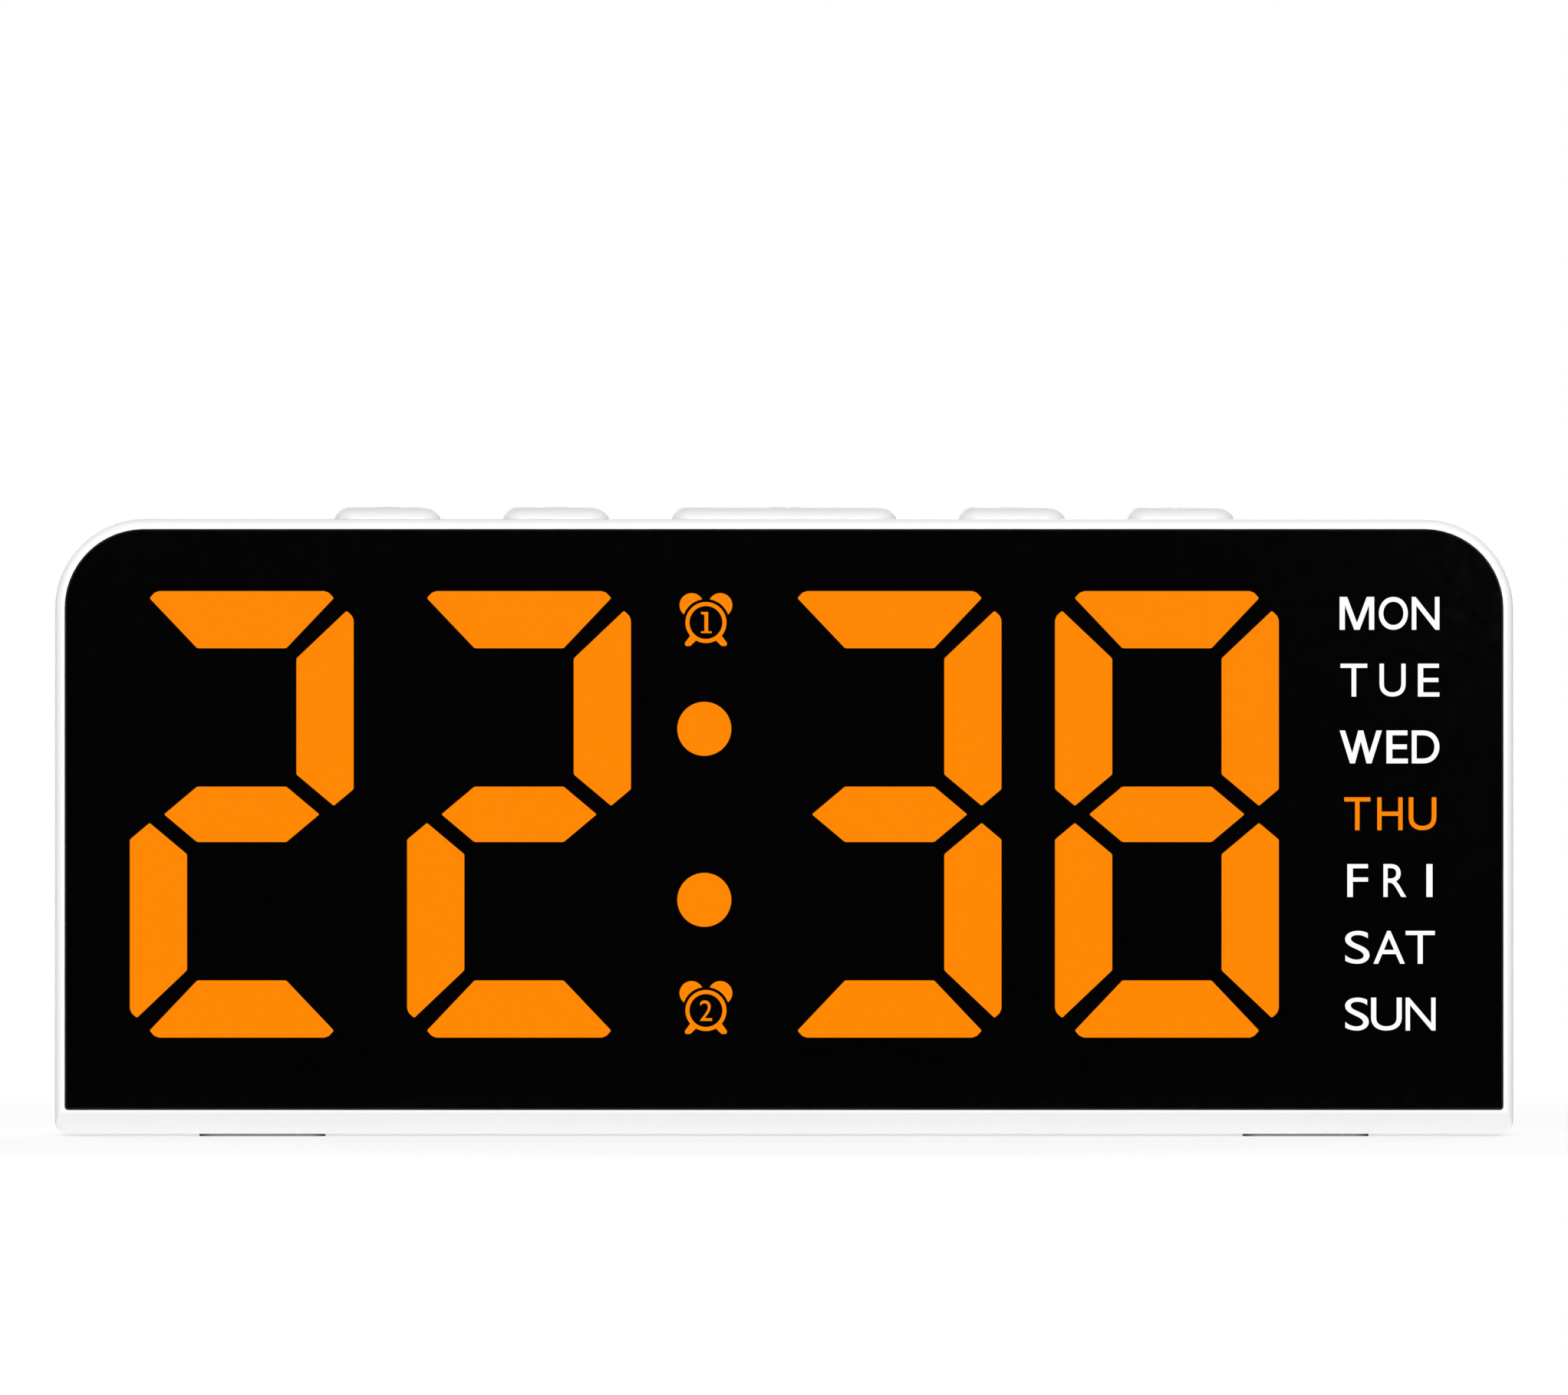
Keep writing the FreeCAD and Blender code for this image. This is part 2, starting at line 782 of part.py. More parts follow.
def make_display_board():
    """Circuit board with a lower strip and two ears for its screws."""
    y_range = (board_front_y, board_rear_y)
    main = box((reflector_left, reflector_right), y_range, (board_main_bottom, reflector_top))
    strip_half = case_screw_x - case_column_radius - board_clearance
    strip = box((-strip_half, strip_half), y_range, (board_strip_bottom, board_middle_top))
    board = main.fuse(strip)
    for side in (-1, 1):
        x_range = (side * ear_x - ear_half_width, side * ear_x + ear_half_width)
        ear_top = board_screw_high + board_boss_radius
        board = board.fuse(box(x_range, y_range, (digit_centre_z, ear_top)))
    span = (board_front_y - cut_over, board_rear_y + cut_over)
    holes = [rod_y(x, z, small_screw_radius + shank_gap, span) for x, z in board_screw_places]
    holes += [rod_y(x, z, peg_radius + thread_gap, span) for x, z in peg_places()]
    return board.cut(Part.makeCompound(holes)).removeSplitter()


# ------------------------------------------------------------------ parts on the board's rear
buzzer_x = reflector_right - buzzer_inset
buzzer_z = digit_centre_z - buzzer_drop
chip_x = reflector_left + chip_inset
crystal_z = digit_centre_z + chip_length / 2 + crystal_gap + crystal_width / 2
plug_top = key_board_bottom - plug_drop + plug_height
ribbon_y = board_rear_y + plug_depth / 2


def on_board(x, z, length, width, height):
    """Box standing on the rear of the display board."""
    x_range = (x - length / 2, x + length / 2)
    return box(x_range, (board_rear_y, board_rear_y + height), (z - width / 2, z + width / 2))


def make_capacitors():
    """Two upright capacitors."""
    x = reflector_left + capacitor_inset
    y_range = (board_rear_y, board_rear_y + capacitor_height)
    heights = (digit_centre_z - capacitor_spacing / 2, digit_centre_z + capacitor_spacing / 2)
    return Part.makeCompound([rod_y(x, z, capacitor_radius, y_range) for z in heights])


def make_drivers():
    """Two LED driver chips, one below the other from the key board down."""
    x = reflector_right - driver_inset
    upper = key_board_bottom - driver_key_gap - driver_length / 2
    lower = upper - driver_length - driver_space
    chips = [on_board(x, z, chip_width, driver_length, chip_height) for z in (lower, upper)]
    return Part.makeCompound(chips)


def make_buzzer():
    """Round buzzer with a sound hole in its end."""
    rear = board_rear_y + buzzer_height
    body = rod_y(buzzer_x, buzzer_z, buzzer_radius, (board_rear_y, rear))
    hole_range = (rear - buzzer_hole_depth, rear + cut_over)
    return body.cut(rod_y(buzzer_x, buzzer_z, buzzer_hole_radius, hole_range))


def make_plugs():
    """Plugs at both ends of the key ribbon."""
    lower = box((-plug_width / 2, plug_width / 2), (board_rear_y, board_rear_y + plug_depth),
                (plug_top - plug_height, plug_top))
    upper = box((-plug_width / 2, plug_width / 2),
                (ribbon_y - key_plug_depth / 2, ribbon_y + key_plug_depth / 2),
                (key_board_bottom - key_plug_height, key_board_bottom))
    return Part.makeCompound([lower, upper])


def make_key_ribbon():
    """Flat ribbon between the two boards."""
    y_range = (ribbon_y - ribbon_thickness / 2, ribbon_y + ribbon_thickness / 2)
    z_range = (plug_top, key_board_bottom - key_plug_height)
    return box((-ribbon_width / 2, ribbon_width / 2), y_range, z_range)


# ------------------------------------------------------------------ buttons and keys
def button_plan(x, width, offset, z_range):
    """Plan outline of a button, moved outwards by offset, as a block along Z."""
    half, side = width / 2 + offset, button_depth / 2 + offset
    points = rectangle(x - half, x + half, button_y - side, button_y + side)
    return prism_z(points, [button_corner + offset] * 4, z_range)


def make_button(x, width):
    """Button cap with a retaining flange and a stem that rests on the switch plunger."""
    top = case_top + button_rise
    cap = button_plan(x, width, 0, (button_underside, top))
    rim = [edge for edge in cap.Edges if edge.BoundBox.ZMin > top - near]
    cap = cap.makeFillet(button_round, rim)
    flange_top = button_underside + flange_thickness
    cap = cap.fuse(button_plan(x, width, flange_width, (button_underside, flange_top)))
    stem = rod_z(x, button_y, stem_radius, (button_underside - stem_length, button_underside))
    return cap.fuse(stem).removeSplitter()


def make_plunger(x):
    """Moving plunger of a push switch."""
    top = key_board_top + switch_height
    return rod_z(x, button_y, plunger_radius, (top - plunger_depth, top + plunger_rise))


def make_switch(x):
    """Body of a push switch, with a well for its plunger."""
    half = switch_size / 2
    top = key_board_top + switch_height
    body = box((x - half, x + half), (button_y - half, button_y + half), (key_board_top, top))
    floor = top - plunger_depth - button_travel - plunger_gap
    return body.cut(rod_z(x, button_y, plunger_radius + plunger_gap, (floor, top + cut_over)))


buttons = [("alarm_button", -outer_button_x, small_button_width)]
buttons += [("minus_button", -inner_button_x, small_button_width)]
buttons += [("snooze_button", 0, wide_button_width)]
buttons += [("plus_button", inner_button_x, small_button_width)]
buttons += [("set_button", outer_button_x, small_button_width)]
key_screw_places = [side * x for side in (-1, 1) for x in key_boss_xs]


def make_key_board():
    """Board under the buttons."""
    y_range = (button_y - key_board_depth / 2, button_y + key_board_depth / 2)
    board = box((-key_board_half, key_board_half), y_range, (key_board_bottom, key_board_top))
    span = (key_board_bottom - cut_over, key_board_top + cut_over)
    holes = [rod_z(x, button_y, small_screw_radius + shank_gap, span) for x in key_screw_places]
    return board.cut(Part.makeCompound(holes))


# ------------------------------------------------------------------ batteries, in the back's own frame
door_screw_v = bay_end + bay_wall + door_ear_radius - door_seat + door_ear_rise
cell_axis_depth = -(door_thickness + cell_door_gap + cell_diameter / 2)


def cell_centres():
    """Height up the back of each cell's axis."""
    first = bay_start + cell_gap + cell_diameter / 2
    return [first + index * (cell_diameter + cell_gap) for index in range(cell_count)]


def make_cell(index):
    """One AAA cell; neighbours lie head to tail."""
    v = cell_centres()[index]
    body = rod_x(cell_axis_depth, v, cell_diameter / 2, (nub_length, cell_length))
    edges = [edge for edge in body.Edges if edge.Curve.TypeId == "Part::GeomCircle"]
    body = body.makeFillet(cell_round, edges)
    body = body.fuse(rod_x(cell_axis_depth, v, nub_diameter / 2, (0, nub_length + cell_round)))
    body.translate(Vector(contact_thickness - bay_half, 0, 0))
    if index % 2:
        body = body.mirror(Vector(0, 0, 0), Vector(1, 0, 0))
    return on_back(body.removeSplitter())


def make_spring(index):
    """Conical spring at the flat end of a cell: half rings, each leaning up to the next."""
    rise = spring_length - spring_wire - 2 * spring_slack
    narrowing = math.tan(math.radians(spring_taper))
    ends = []
    for half_turn in range(spring_half_turns + 1):
        height = rise * half_turn / spring_half_turns
        ends.append(Vector((-1) ** half_turn * (spring_radius - height * narrowing), 0, height))
    rings = []
    for half_turn in range(spring_half_turns):
        span = ends[half_turn + 1] - ends[half_turn]
        middle = (ends[half_turn + 1] + ends[half_turn]) / 2
        axis = Vector(0, (-1) ** half_turn, 0).cross(span)
        section = Part.makeCircle(spring_wire / 2, ends[half_turn], Vector(0, 1, 0))
        rings.append(Part.Face(Part.Wire([section])).revolve(middle, axis, 180))
    spring = rings[0].multiFuse(rings[1:]).removeSplitter()
    spring = pointed(spring, (-1, 0, 0), (0, 0, 0))
    wide_end = bay_half - contact_thickness - spring_slack - spring_wire / 2
    spring.translate(Vector(wide_end, cell_axis_depth, cell_centres()[index]))
    if index % 2:
        spring = spring.mirror(Vector(0, 0, 0), Vector(1, 0, 0))
    return on_back(spring)


def contact(side, first, last):
    """Contact plate on one end wall of the bay, from cell first to cell last."""
    centres = cell_centres()
    outer, inner = side * bay_half, side * (bay_half - contact_thickness)
    x_range = (min(outer, inner), max(outer, inner))
    w_range = (cell_axis_depth - contact_width / 2, cell_axis_depth + contact_width / 2)
    v_range = (centres[first] - contact_width / 2, centres[last] + contact_width / 2)
    return box(x_range, w_range, v_range)


def tab_box(side, offset):
    """Solder tab that leads from an end contact out through the bay's wall."""
    centres = cell_centres()
    v = centres[0] if side < 0 else centres[-1]
    start, end = bay_half - offset, bay_half + bay_wall + tab_reach + offset
    x_range = (min(side * start, side * end), max(side * start, side * end))
    half = contact_thickness / 2 + offset
    rise = tab_width / 2 + offset
    return box(x_range, (cell_axis_depth - half, cell_axis_depth + half), (v - rise, v + rise))


def make_contacts():
    """Four nickel plates that join the cells in series."""
    last = cell_count - 1
    plates = [contact(-1, 0, 0).fuse(tab_box(-1, 0)), contact(-1, 1, last)]
    plates += [contact(1, 0, last - 1), contact(1, last, last).fuse(tab_box(1, 0))]
    return Part.makeCompound([on_back(plate.removeSplitter()) for plate in plates])


def make_battery_lead(side):
    """Lead from an end tab to the display board."""
    centres = cell_centres()
    v = centres[0] if side < 0 else centres[-1]
    end = bay_half + bay_wall + tab_reach
    point = back_normal * (back_distance + cell_axis_depth)
    point += Vector(0, -math.sin(lean), math.cos(lean)) * v
    turn = end + lead_run
    route = [(side * end, point.y, point.z)]
    route += [(side * turn, point.y, point.z), (side * turn, board_rear_y, point.z)]
    return tube(route, lead_radius)


def door_outline(offset, w_range):
    """Door with its screw ear, moved outwards by offset, in the back's own frame."""
    half = bay_half + door_seat + offset
    points = rectangle(-half, half, bay_start - door_seat - offset, bay_end + door_seat + offset)
    plate = prism_y(points, [door_round + offset] * 4, w_range)
    ear = rod_y(0, door_screw_v, door_ear_radius + offset, w_range)
    neck_half = door_ear_radius + offset
    neck = box((-neck_half, neck_half), w_range, (bay_end, door_screw_v))
    return plate.fuse(ear).fuse(neck).removeSplitter()


def make_battery_door():
    """Flat door with four locating ribs and a counterbored hole for its screw."""
    door = door_outline(-door_gap, (-door_thickness, 0))
    start = bay_start + door_rib_gap
    end = bay_end - door_rib_gap
    w_range = (-door_thickness - door_rib_length, -door_thickness / 2)
    for x in (-door_rib_spread, door_rib_spread):
        x_range = (x - door_rib_width / 2, x + door_rib_width / 2)
        door = door.fuse(box(x_range, w_range, (start, start + door_rib_thickness)))
        door = door.fuse(box(x_range, w_range, (end - door_rib_thickness, end)))
    span = (-door_thickness - cut_over, cut_over)
    hole = rod_y(0, door_screw_v, small_screw_radius + shank_gap, span)
    seat_range = (-door_screw_seat, cut_over)
    seat = rod_y(0, door_screw_v, small_screw_head_radius + shank_gap, seat_range)
    return on_back(door.cut(hole).cut(seat).removeSplitter())


def make_door_screw():
    """Captive screw of the door, flush with its outside."""
    body = screw(small_screw_radius, door_screw_length, small_screw_head_radius, door_screw_seat)
    return on_back(pointed(body, (0, 1, 0), (0, -door_screw_seat, door_screw_v)))


# ------------------------------------------------------------------ rear housing
inlet_x = case_column_radius + inlet_column_gap + inlet_board_width / 2 - case_screw_x
inlet_board_bottom = case_bottom + inlet_board_rise + wall
inlet_board_top = inlet_board_bottom + inlet_board_thickness
inlet_back = back_y(inlet_board_top, wall) - inlet_board_gap
inlet_y_range = (inlet_back - inlet_board_depth, inlet_back)
inlet_screw_y = inlet_y_range[0] + inlet_screw_setback
inlet_screw_xs = [inlet_x + side * (inlet_board_width / 2 - inlet_screw_inset) for side in (-1, 1)]
socket_mouth_y = back_y(inlet_board_top + socket_height / 2, 0) - socket_sink
socket_centre_z = inlet_board_top + socket_height / 2


def socket_prism(offset, y_range):
    """Rounded oblong section of the power socket, moved outwards by offset."""
    half, rise = socket_width / 2 + offset, socket_height / 2 + offset
    points = rectangle(inlet_x - half, inlet_x + half, socket_centre_z - rise, socket_centre_z + rise)
    return prism_y(points, [rise - socket_flat] * 4, y_range)


def bay_block():
    """Walls and floor of the battery bay, before it is hollowed, in the back's own frame."""
    half = bay_half + bay_wall
    w_range = (-bay_depth - bay_floor, -wall / 2)
    tub = box((-half, half), w_range, (bay_start - bay_wall, bay_end + bay_wall))
    surround = door_outline(door_surround, (-door_thickness - door_surround, -wall / 2))
    post_end = -door_screw_seat - door_screw_length - door_screw_tip_gap - door_post_floor
    post = rod_y(0, door_screw_v, small_screw_radius + door_post_wall, (post_end, -wall / 2))
    return tub.fuse(surround).fuse(post)


def bay_cutters():
    """Space for the cells, the door's rebate, its screw and the contact tabs."""
    space = box((-bay_half, bay_half), (-bay_depth, cut_over), (bay_start, bay_end))
    rebate = door_outline(0, (-door_thickness, cut_over))
    tip = -door_screw_seat - door_screw_length - door_screw_tip_gap
    hole = rod_y(0, door_screw_v, small_screw_radius + thread_gap, (tip, cut_over))
    cutters = [space, rebate, hole, tab_box(-1, tab_gap), tab_box(1, tab_gap)]
    return [on_back(cutter) for cutter in cutters]


def grille_slots():
    """Upright slots in the back, behind the buzzer."""
    cutters = []
    for index in range(slot_count):
        offset = (index - (slot_count - 1) / 2) * slot_pitch
        half = math.sqrt((duct_radius - duct_wall) ** 2 - offset ** 2) - slot_width / 2
        half = max(half, slot_width)
        x = buzzer_x + offset
        points = rectangle(x - slot_width / 2, x + slot_width / 2, buzzer_z - half, buzzer_z + half)
        radii = [slot_width / 2 - near] * 4
        cutters.append(prism_y(points, radii, (back_y(buzzer_z, 2 * wall), case_depth)))
    return cutters


def make_rear_housing():
    """Tub with a leaning back, battery bay, sound duct, socket slot and screw columns."""
    body = case_solid(0).common(half_space((parting_y, case_depth)))
    inner = case_solid(wall)
    body = body.cut(inner)
    trim = case_solid(wall / 2)
    additions = [on_back(bay_block())]
    column_range = (parting_y, case_depth)
    for x, z in screw_places:
        additions.append(boss(x, z, case_boss_radius, column_range, column_range))
        column_start = screw_seat_y - case_column_floor
        additions.append(rod_y(x, z, case_column_radius, (column_start, case_depth)))
    for x in key_screw_places:
        additions.append(rod_z(x, button_y, key_boss_radius, (key_board_top, case_top - wall / 2)))
    for x in inlet_screw_xs:
        z_range = (case_bottom + wall / 2, inlet_board_bottom)
        additions.append(rod_z(x, inlet_screw_y, board_boss_radius, z_range))
    duct_y = (board_rear_y + buzzer_height + duct_gap, case_depth)
    duct = rod_y(buzzer_x, buzzer_z, duct_radius, duct_y)
    additions.append(duct.cut(rod_y(buzzer_x, buzzer_z, duct_radius - duct_wall, duct_y)))
    for addition in additions:
        body = body.fuse(addition.common(trim))
    rebate = case_solid(wall - tongue_thickness - tongue_gap).cut(case_solid(wall + tongue_gap))
    rebate_end = parting_y + tongue_length + tongue_gap
    rebate = rebate.common(half_space((parting_y - cut_over, rebate_end)))
    cutters = [rebate] + bay_cutters() + grille_slots()
    for x, z in screw_places:
        span = (parting_y - cut_over, screw_seat_y + cut_over)
        cutters.append(rod_y(x, z, case_screw_radius + shank_gap, span))
        cutters.append(rod_y(x, z, counterbore_radius, (screw_seat_y, case_depth)))
    for x in key_screw_places:
        z_range = (key_board_top - cut_over, key_board_top + small_screw_bite + thread_gap)
        cutters.append(rod_z(x, button_y, small_screw_radius + thread_gap, z_range))
    for x in inlet_screw_xs:
        tip = inlet_board_bottom - small_screw_bite - thread_gap
        z_range = (tip, inlet_board_bottom + cut_over)
        cutters.append(rod_z(x, inlet_screw_y, small_screw_radius + thread_gap, z_range))
    for name, x, width in buttons:
        z_range = (button_underside, case_top + cut_over)
        cutters.append(button_plan(x, width, button_clearance, z_range))
    cutters.append(socket_prism(socket_gap, (inlet_back, case_depth)))
    for cutter in cutters:
        body = body.cut(cutter)
    return body.cut(foot_recesses()).removeSplitter()


# ------------------------------------------------------------------ power inlet
def make_inlet_board():
    """Small board that carries the power socket."""
    half = inlet_board_width / 2
    z_range = (inlet_board_bottom, inlet_board_top)
    board = box((inlet_x - half, inlet_x + half), inlet_y_range, z_range)
    span = (inlet_board_bottom - cut_over, inlet_board_top + cut_over)
    holes = [rod_z(x, inlet_screw_y, small_screw_radius + shank_gap, span) for x in inlet_screw_xs]
    return board.cut(Part.makeCompound(holes))


def make_socket():
    """Metal shell of the USB-C socket, open at the back."""
    shell = socket_prism(0, (socket_mouth_y - socket_length, socket_mouth_y))
    cavity_range = (socket_mouth_y - socket_cavity, socket_mouth_y + cut_over)
    return shell.cut(socket_prism(-socket_shell, cavity_range))


def make_socket_tongue():
    """Contact tongue inside the socket."""
    rear = socket_mouth_y - socket_cavity
    half, rise = tongue_board_width / 2, tongue_board_thickness / 2
    z_range = (socket_centre_z - rise, socket_centre_z + rise)
    return box((inlet_x - half, inlet_x + half), (rear, rear + tongue_board_length), z_range)


def make_power_leads():
    """Two leads from the power board up to the display board."""
    leads = []
    y = inlet_y_range[0] + power_lead_setback
    top = inlet_board_top + power_lead_rise
    for side in (-1, 1):
        x = inlet_x + side * power_lead_spacing / 2
        route = [(x, y, inlet_board_top), (x, y, top), (x, board_rear_y, top)]
        leads.append(tube(route, lead_radius))
    return Part.makeCompound(leads)


# ------------------------------------------------------------------ fasteners and feet
def make_case_screws():
    """Four long screws from the back into the bezel."""
    length = case_screw_grip + case_screw_bite
    body = screw(case_screw_radius, length, case_screw_head_radius, case_screw_head_height)
    places = [(x, screw_seat_y, z) for x, z in screw_places]
    return Part.makeCompound([pointed(body, (0, 1, 0), place) for place in places])


def make_board_screws():
    """Four screws that hold the display board on the bezel."""
    length = board_thickness + small_screw_bite
    body = screw(small_screw_radius, length, small_screw_head_radius, small_screw_head_height)
    places = [(x, board_rear_y, z) for x, z in board_screw_places]
    return Part.makeCompound([pointed(body, (0, 1, 0), place) for place in places])


def make_key_board_screws():
    """Four screws that hold the key board up against its bosses."""
    length = key_board_thickness + small_screw_bite
    body = screw(small_screw_radius, length, small_screw_head_radius, small_screw_head_height)
    places = [(x, button_y, key_board_bottom) for x in key_screw_places]
    return Part.makeCompound([pointed(body, (0, 0, -1), place) for place in places])


def make_inlet_screws():
    """Two screws that hold the power board down."""
    length = inlet_board_thickness + small_screw_bite
    body = screw(small_screw_radius, length, small_screw_head_radius, small_screw_head_height)
    places = [(x, inlet_screw_y, inlet_board_top) for x in inlet_screw_xs]
    return Part.makeCompound([pointed(body, (0, 0, 1), place) for place in places])


def make_feet():
    """Four rubber feet, sunk into the underside."""
    return Part.makeCompound([foot(x, y, 0, (0, foot_thickness)) for x, y in foot_places()])


# ------------------------------------------------------------------ assembly
nodes = {}
nodes["front_bezel"] = make_front_bezel()
nodes["front_lens"] = make_lens()
nodes["lens_tape"] = make_lens_tape()
nodes["mask_film"] = make_mask_film()
nodes["display_reflector"] = make_reflector()
digit_names = ["hour_tens", "hour_units", "minute_tens", "minute_units"]
for name, centre_x in zip(digit_names, digit_centres):
    nodes[name + "_light_guides"] = Part.makeCompound(segment_bars(centre_x, 0, guide_range))
nodes["colon_light_guides"] = Part.makeCompound(dot_bars(0, guide_range))
nodes["alarm_icon_light_guides"] = Part.makeCompound(icon_bars(0, legend_range))
nodes["weekday_light_guides"] = Part.makeCompound(word_bars(0, legend_range))
nodes["display_board"] = make_display_board()
nodes["display_leds"] = make_leds()
nodes["display_board_screws"] = make_board_screws()
nodes["clock_chip"] = on_board(chip_x, digit_centre_z, chip_width, chip_length, chip_height)
nodes["driver_chips"] = make_drivers()
nodes["crystal"] = on_board(chip_x, crystal_z, crystal_length, crystal_width, crystal_height)
nodes["capacitors"] = make_capacitors()
nodes["buzzer"] = make_buzzer()
nodes["key_board"] = make_key_board()
nodes["key_board_screws"] = make_key_board_screws()
nodes["key_switches"] = Part.makeCompound([make_switch(x) for name, x, width in buttons])
nodes["key_ribbon"] = make_key_ribbon()
nodes["ribbon_plugs"] = make_plugs()
for name, x, width in buttons:
    nodes[name] = make_button(x, width)
    nodes[name.replace("button", "plunger")] = make_plunger(x)
nodes["rear_housing"] = make_rear_housing()
nodes["battery_door"] = make_battery_door()
nodes["battery_door_screw"] = make_door_screw()
cell_names = ["lower_cell", "middle_cell", "upper_cell"]
for index, name in enumerate(cell_names[:cell_count]):
    nodes[name] = make_cell(index)
nodes["battery_springs"] = Part.makeCompound([make_spring(index) for index in range(cell_count)])
nodes["battery_contacts"] = make_contacts()
nodes["battery_lead_red"] = make_battery_lead(-1)
nodes["battery_lead_black"] = make_battery_lead(1)
nodes["power_board"] = make_inlet_board()
nodes["power_board_screws"] = make_inlet_screws()
nodes["power_socket"] = make_socket()
nodes["power_socket_tongue"] = make_socket_tongue()
nodes["power_leads"] = make_power_leads()
nodes["case_screws"] = make_case_screws()
nodes["rubber_feet"] = make_feet()

for name, shape in nodes.items():
    shape.exportStep("parts/" + name + ".step")
    print(name, len(shape.Solids), "solids,", round(shape.Volume, 1), "mm3, valid:", shape.isValid())
print("casing", round(case_width, 3), round(case_depth, 3), round(case_height, 3))
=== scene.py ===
import bpy
import math
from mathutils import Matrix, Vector


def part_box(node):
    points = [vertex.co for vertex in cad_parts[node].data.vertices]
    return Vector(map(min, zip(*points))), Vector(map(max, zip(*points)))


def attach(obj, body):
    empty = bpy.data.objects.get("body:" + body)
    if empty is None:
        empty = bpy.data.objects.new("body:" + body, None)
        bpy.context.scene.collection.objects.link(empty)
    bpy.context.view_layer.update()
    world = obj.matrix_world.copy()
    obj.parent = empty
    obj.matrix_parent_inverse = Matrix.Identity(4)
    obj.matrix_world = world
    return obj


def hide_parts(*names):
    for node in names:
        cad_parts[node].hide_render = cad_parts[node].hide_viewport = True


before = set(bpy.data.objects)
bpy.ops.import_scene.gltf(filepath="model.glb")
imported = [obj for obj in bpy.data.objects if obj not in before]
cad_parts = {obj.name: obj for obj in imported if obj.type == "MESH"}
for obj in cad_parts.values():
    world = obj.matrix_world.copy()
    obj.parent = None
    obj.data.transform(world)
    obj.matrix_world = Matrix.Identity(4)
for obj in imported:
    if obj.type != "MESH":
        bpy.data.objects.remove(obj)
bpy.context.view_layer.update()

# The looks of a large-digit LED clock. Metres, +Z up, the front faces -Y.

# ------------------------------------------------------------------ sizes
case_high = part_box("front_bezel")[1]
lens_low, lens_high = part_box("front_lens")
slack = 0.0001                # under any edge's length, for picking edges by their place
facing = 0.99                 # how squarely a picked face has to look along an axis
merge_distance = 0.000001
upright = (math.radians(90), 0, 0)    # turns a flat sheet up to face the front

print_rise = 0.00004          # how far the glowing print stands off the lens
print_sink = 0.00006          # how far it is let into the lens
print_y = lens_low.y + print_sink
print_lift = (0, -print_sink - print_rise, 0)

digit_width = 0.02485
digit_height = 0.0496
digit_centres = [-0.060225, -0.029425, 0.011725, 0.042525]
digit_centre_z = 0.0358
colon_x = -0.00885
dot_diameter = 0.006
dot_spacing = 0.019


# ------------------------------------------------------------------ node helpers
def feed(tree, socket, value):
    """Link a socket to another one, or set it to a plain value."""
    if isinstance(value, bpy.types.NodeSocket):
        tree.links.new(value, socket)
    else:
        socket.default_value = value


def calculated(tree, operation, *values):
    """Result of a Math node on sockets or plain numbers."""
    node = tree.nodes.new("ShaderNodeMath")
    node.operation = operation
    for socket, value in zip(node.inputs, values):
        feed(tree, socket, value)
    return node.outputs[0]


def ranged(tree, value, reach, result=(0.0, 1.0), smooth=False):
    """Result of a Map Range node that turns reach into result."""
    node = tree.nodes.new("ShaderNodeMapRange")
    if smooth:
        node.interpolation_type = "SMOOTHSTEP"
    node.inputs["From Min"].default_value, node.inputs["From Max"].default_value = reach
    node.inputs["To Min"].default_value, node.inputs["To Max"].default_value = result
    tree.links.new(value, node.inputs["Value"])
    return node.outputs["Result"]


def mixed(tree, kind, share, first, second):
    """Blend by share of two numbers ("FLOAT") or two colours ("RGBA")."""
    node = tree.nodes.new("ShaderNodeMix")
    node.data_type = kind
    start, end = {"FLOAT": (2, 0), "RGBA": (6, 2)}[kind]    # its first input and its output
    for socket, value in ((0, share), (start, first), (start + 1, second)):
        feed(tree, node.inputs[socket], value)
    return node.outputs[end]


def axes_of(tree, direction):
    """A direction or place taken apart into X, Y and Z."""
    parts = tree.nodes.new("ShaderNodeSeparateXYZ")
    tree.links.new(direction, parts.inputs[0])
    return parts.outputs


def object_place(tree):
    """Place on the object, in its own coordinates."""
    return tree.nodes.new("ShaderNodeTexCoord").outputs["Object"]


def noise_on_object(tree, scale, detail):
    """Noise that sits on the object."""
    noise = tree.nodes.new("ShaderNodeTexNoise")
    noise.inputs["Detail"].default_value = detail
    feed(tree, noise.inputs["Scale"], scale)
    tree.links.new(object_place(tree), noise.inputs["Vector"])
    return noise.outputs["Fac"]


# ------------------------------------------------------------------ camera, floor, lamps and world
camera_distance = 3.0
camera_height = 0.04878
view_width = 0.17414
sensor_width = 36
far_limit = 20

floor_size = (0.7, 0.42, 1)
floor_middle = (0, 0.07, 0)
floor_glow = 0.735            # the floor as the camera sees it: this much light of its own
floor_seen_grey = (0.36, 0.36, 0.36, 1)
floor_grey = (0.8, 0.8, 0.8, 1)

front_reach = (-0.97, -0.62)  # reflections fade in over this turn away from the front
sky_reach = (-0.1, 0.75)      # and brighten over this rise
low_sky = 0.35
plain_fill = 0.35
full_white = (1, 1, 1, 1)

lamp_aim = Vector((0, 0, 0.035))
lamps = [                     # name, place, size, power
    ("key_lamp", (-0.4, -1.68, 0.58), 0.85, 15),
    ("fill_lamp", (0.5, -1.65, 0.44), 0.75, 10.5),
    ("back_lamp", (0.5, 1.6, 0.55), 1.0, 10.5),
    ("back_fill_lamp", (-0.65, 1.4, 0.42), 0.9, 6),
]


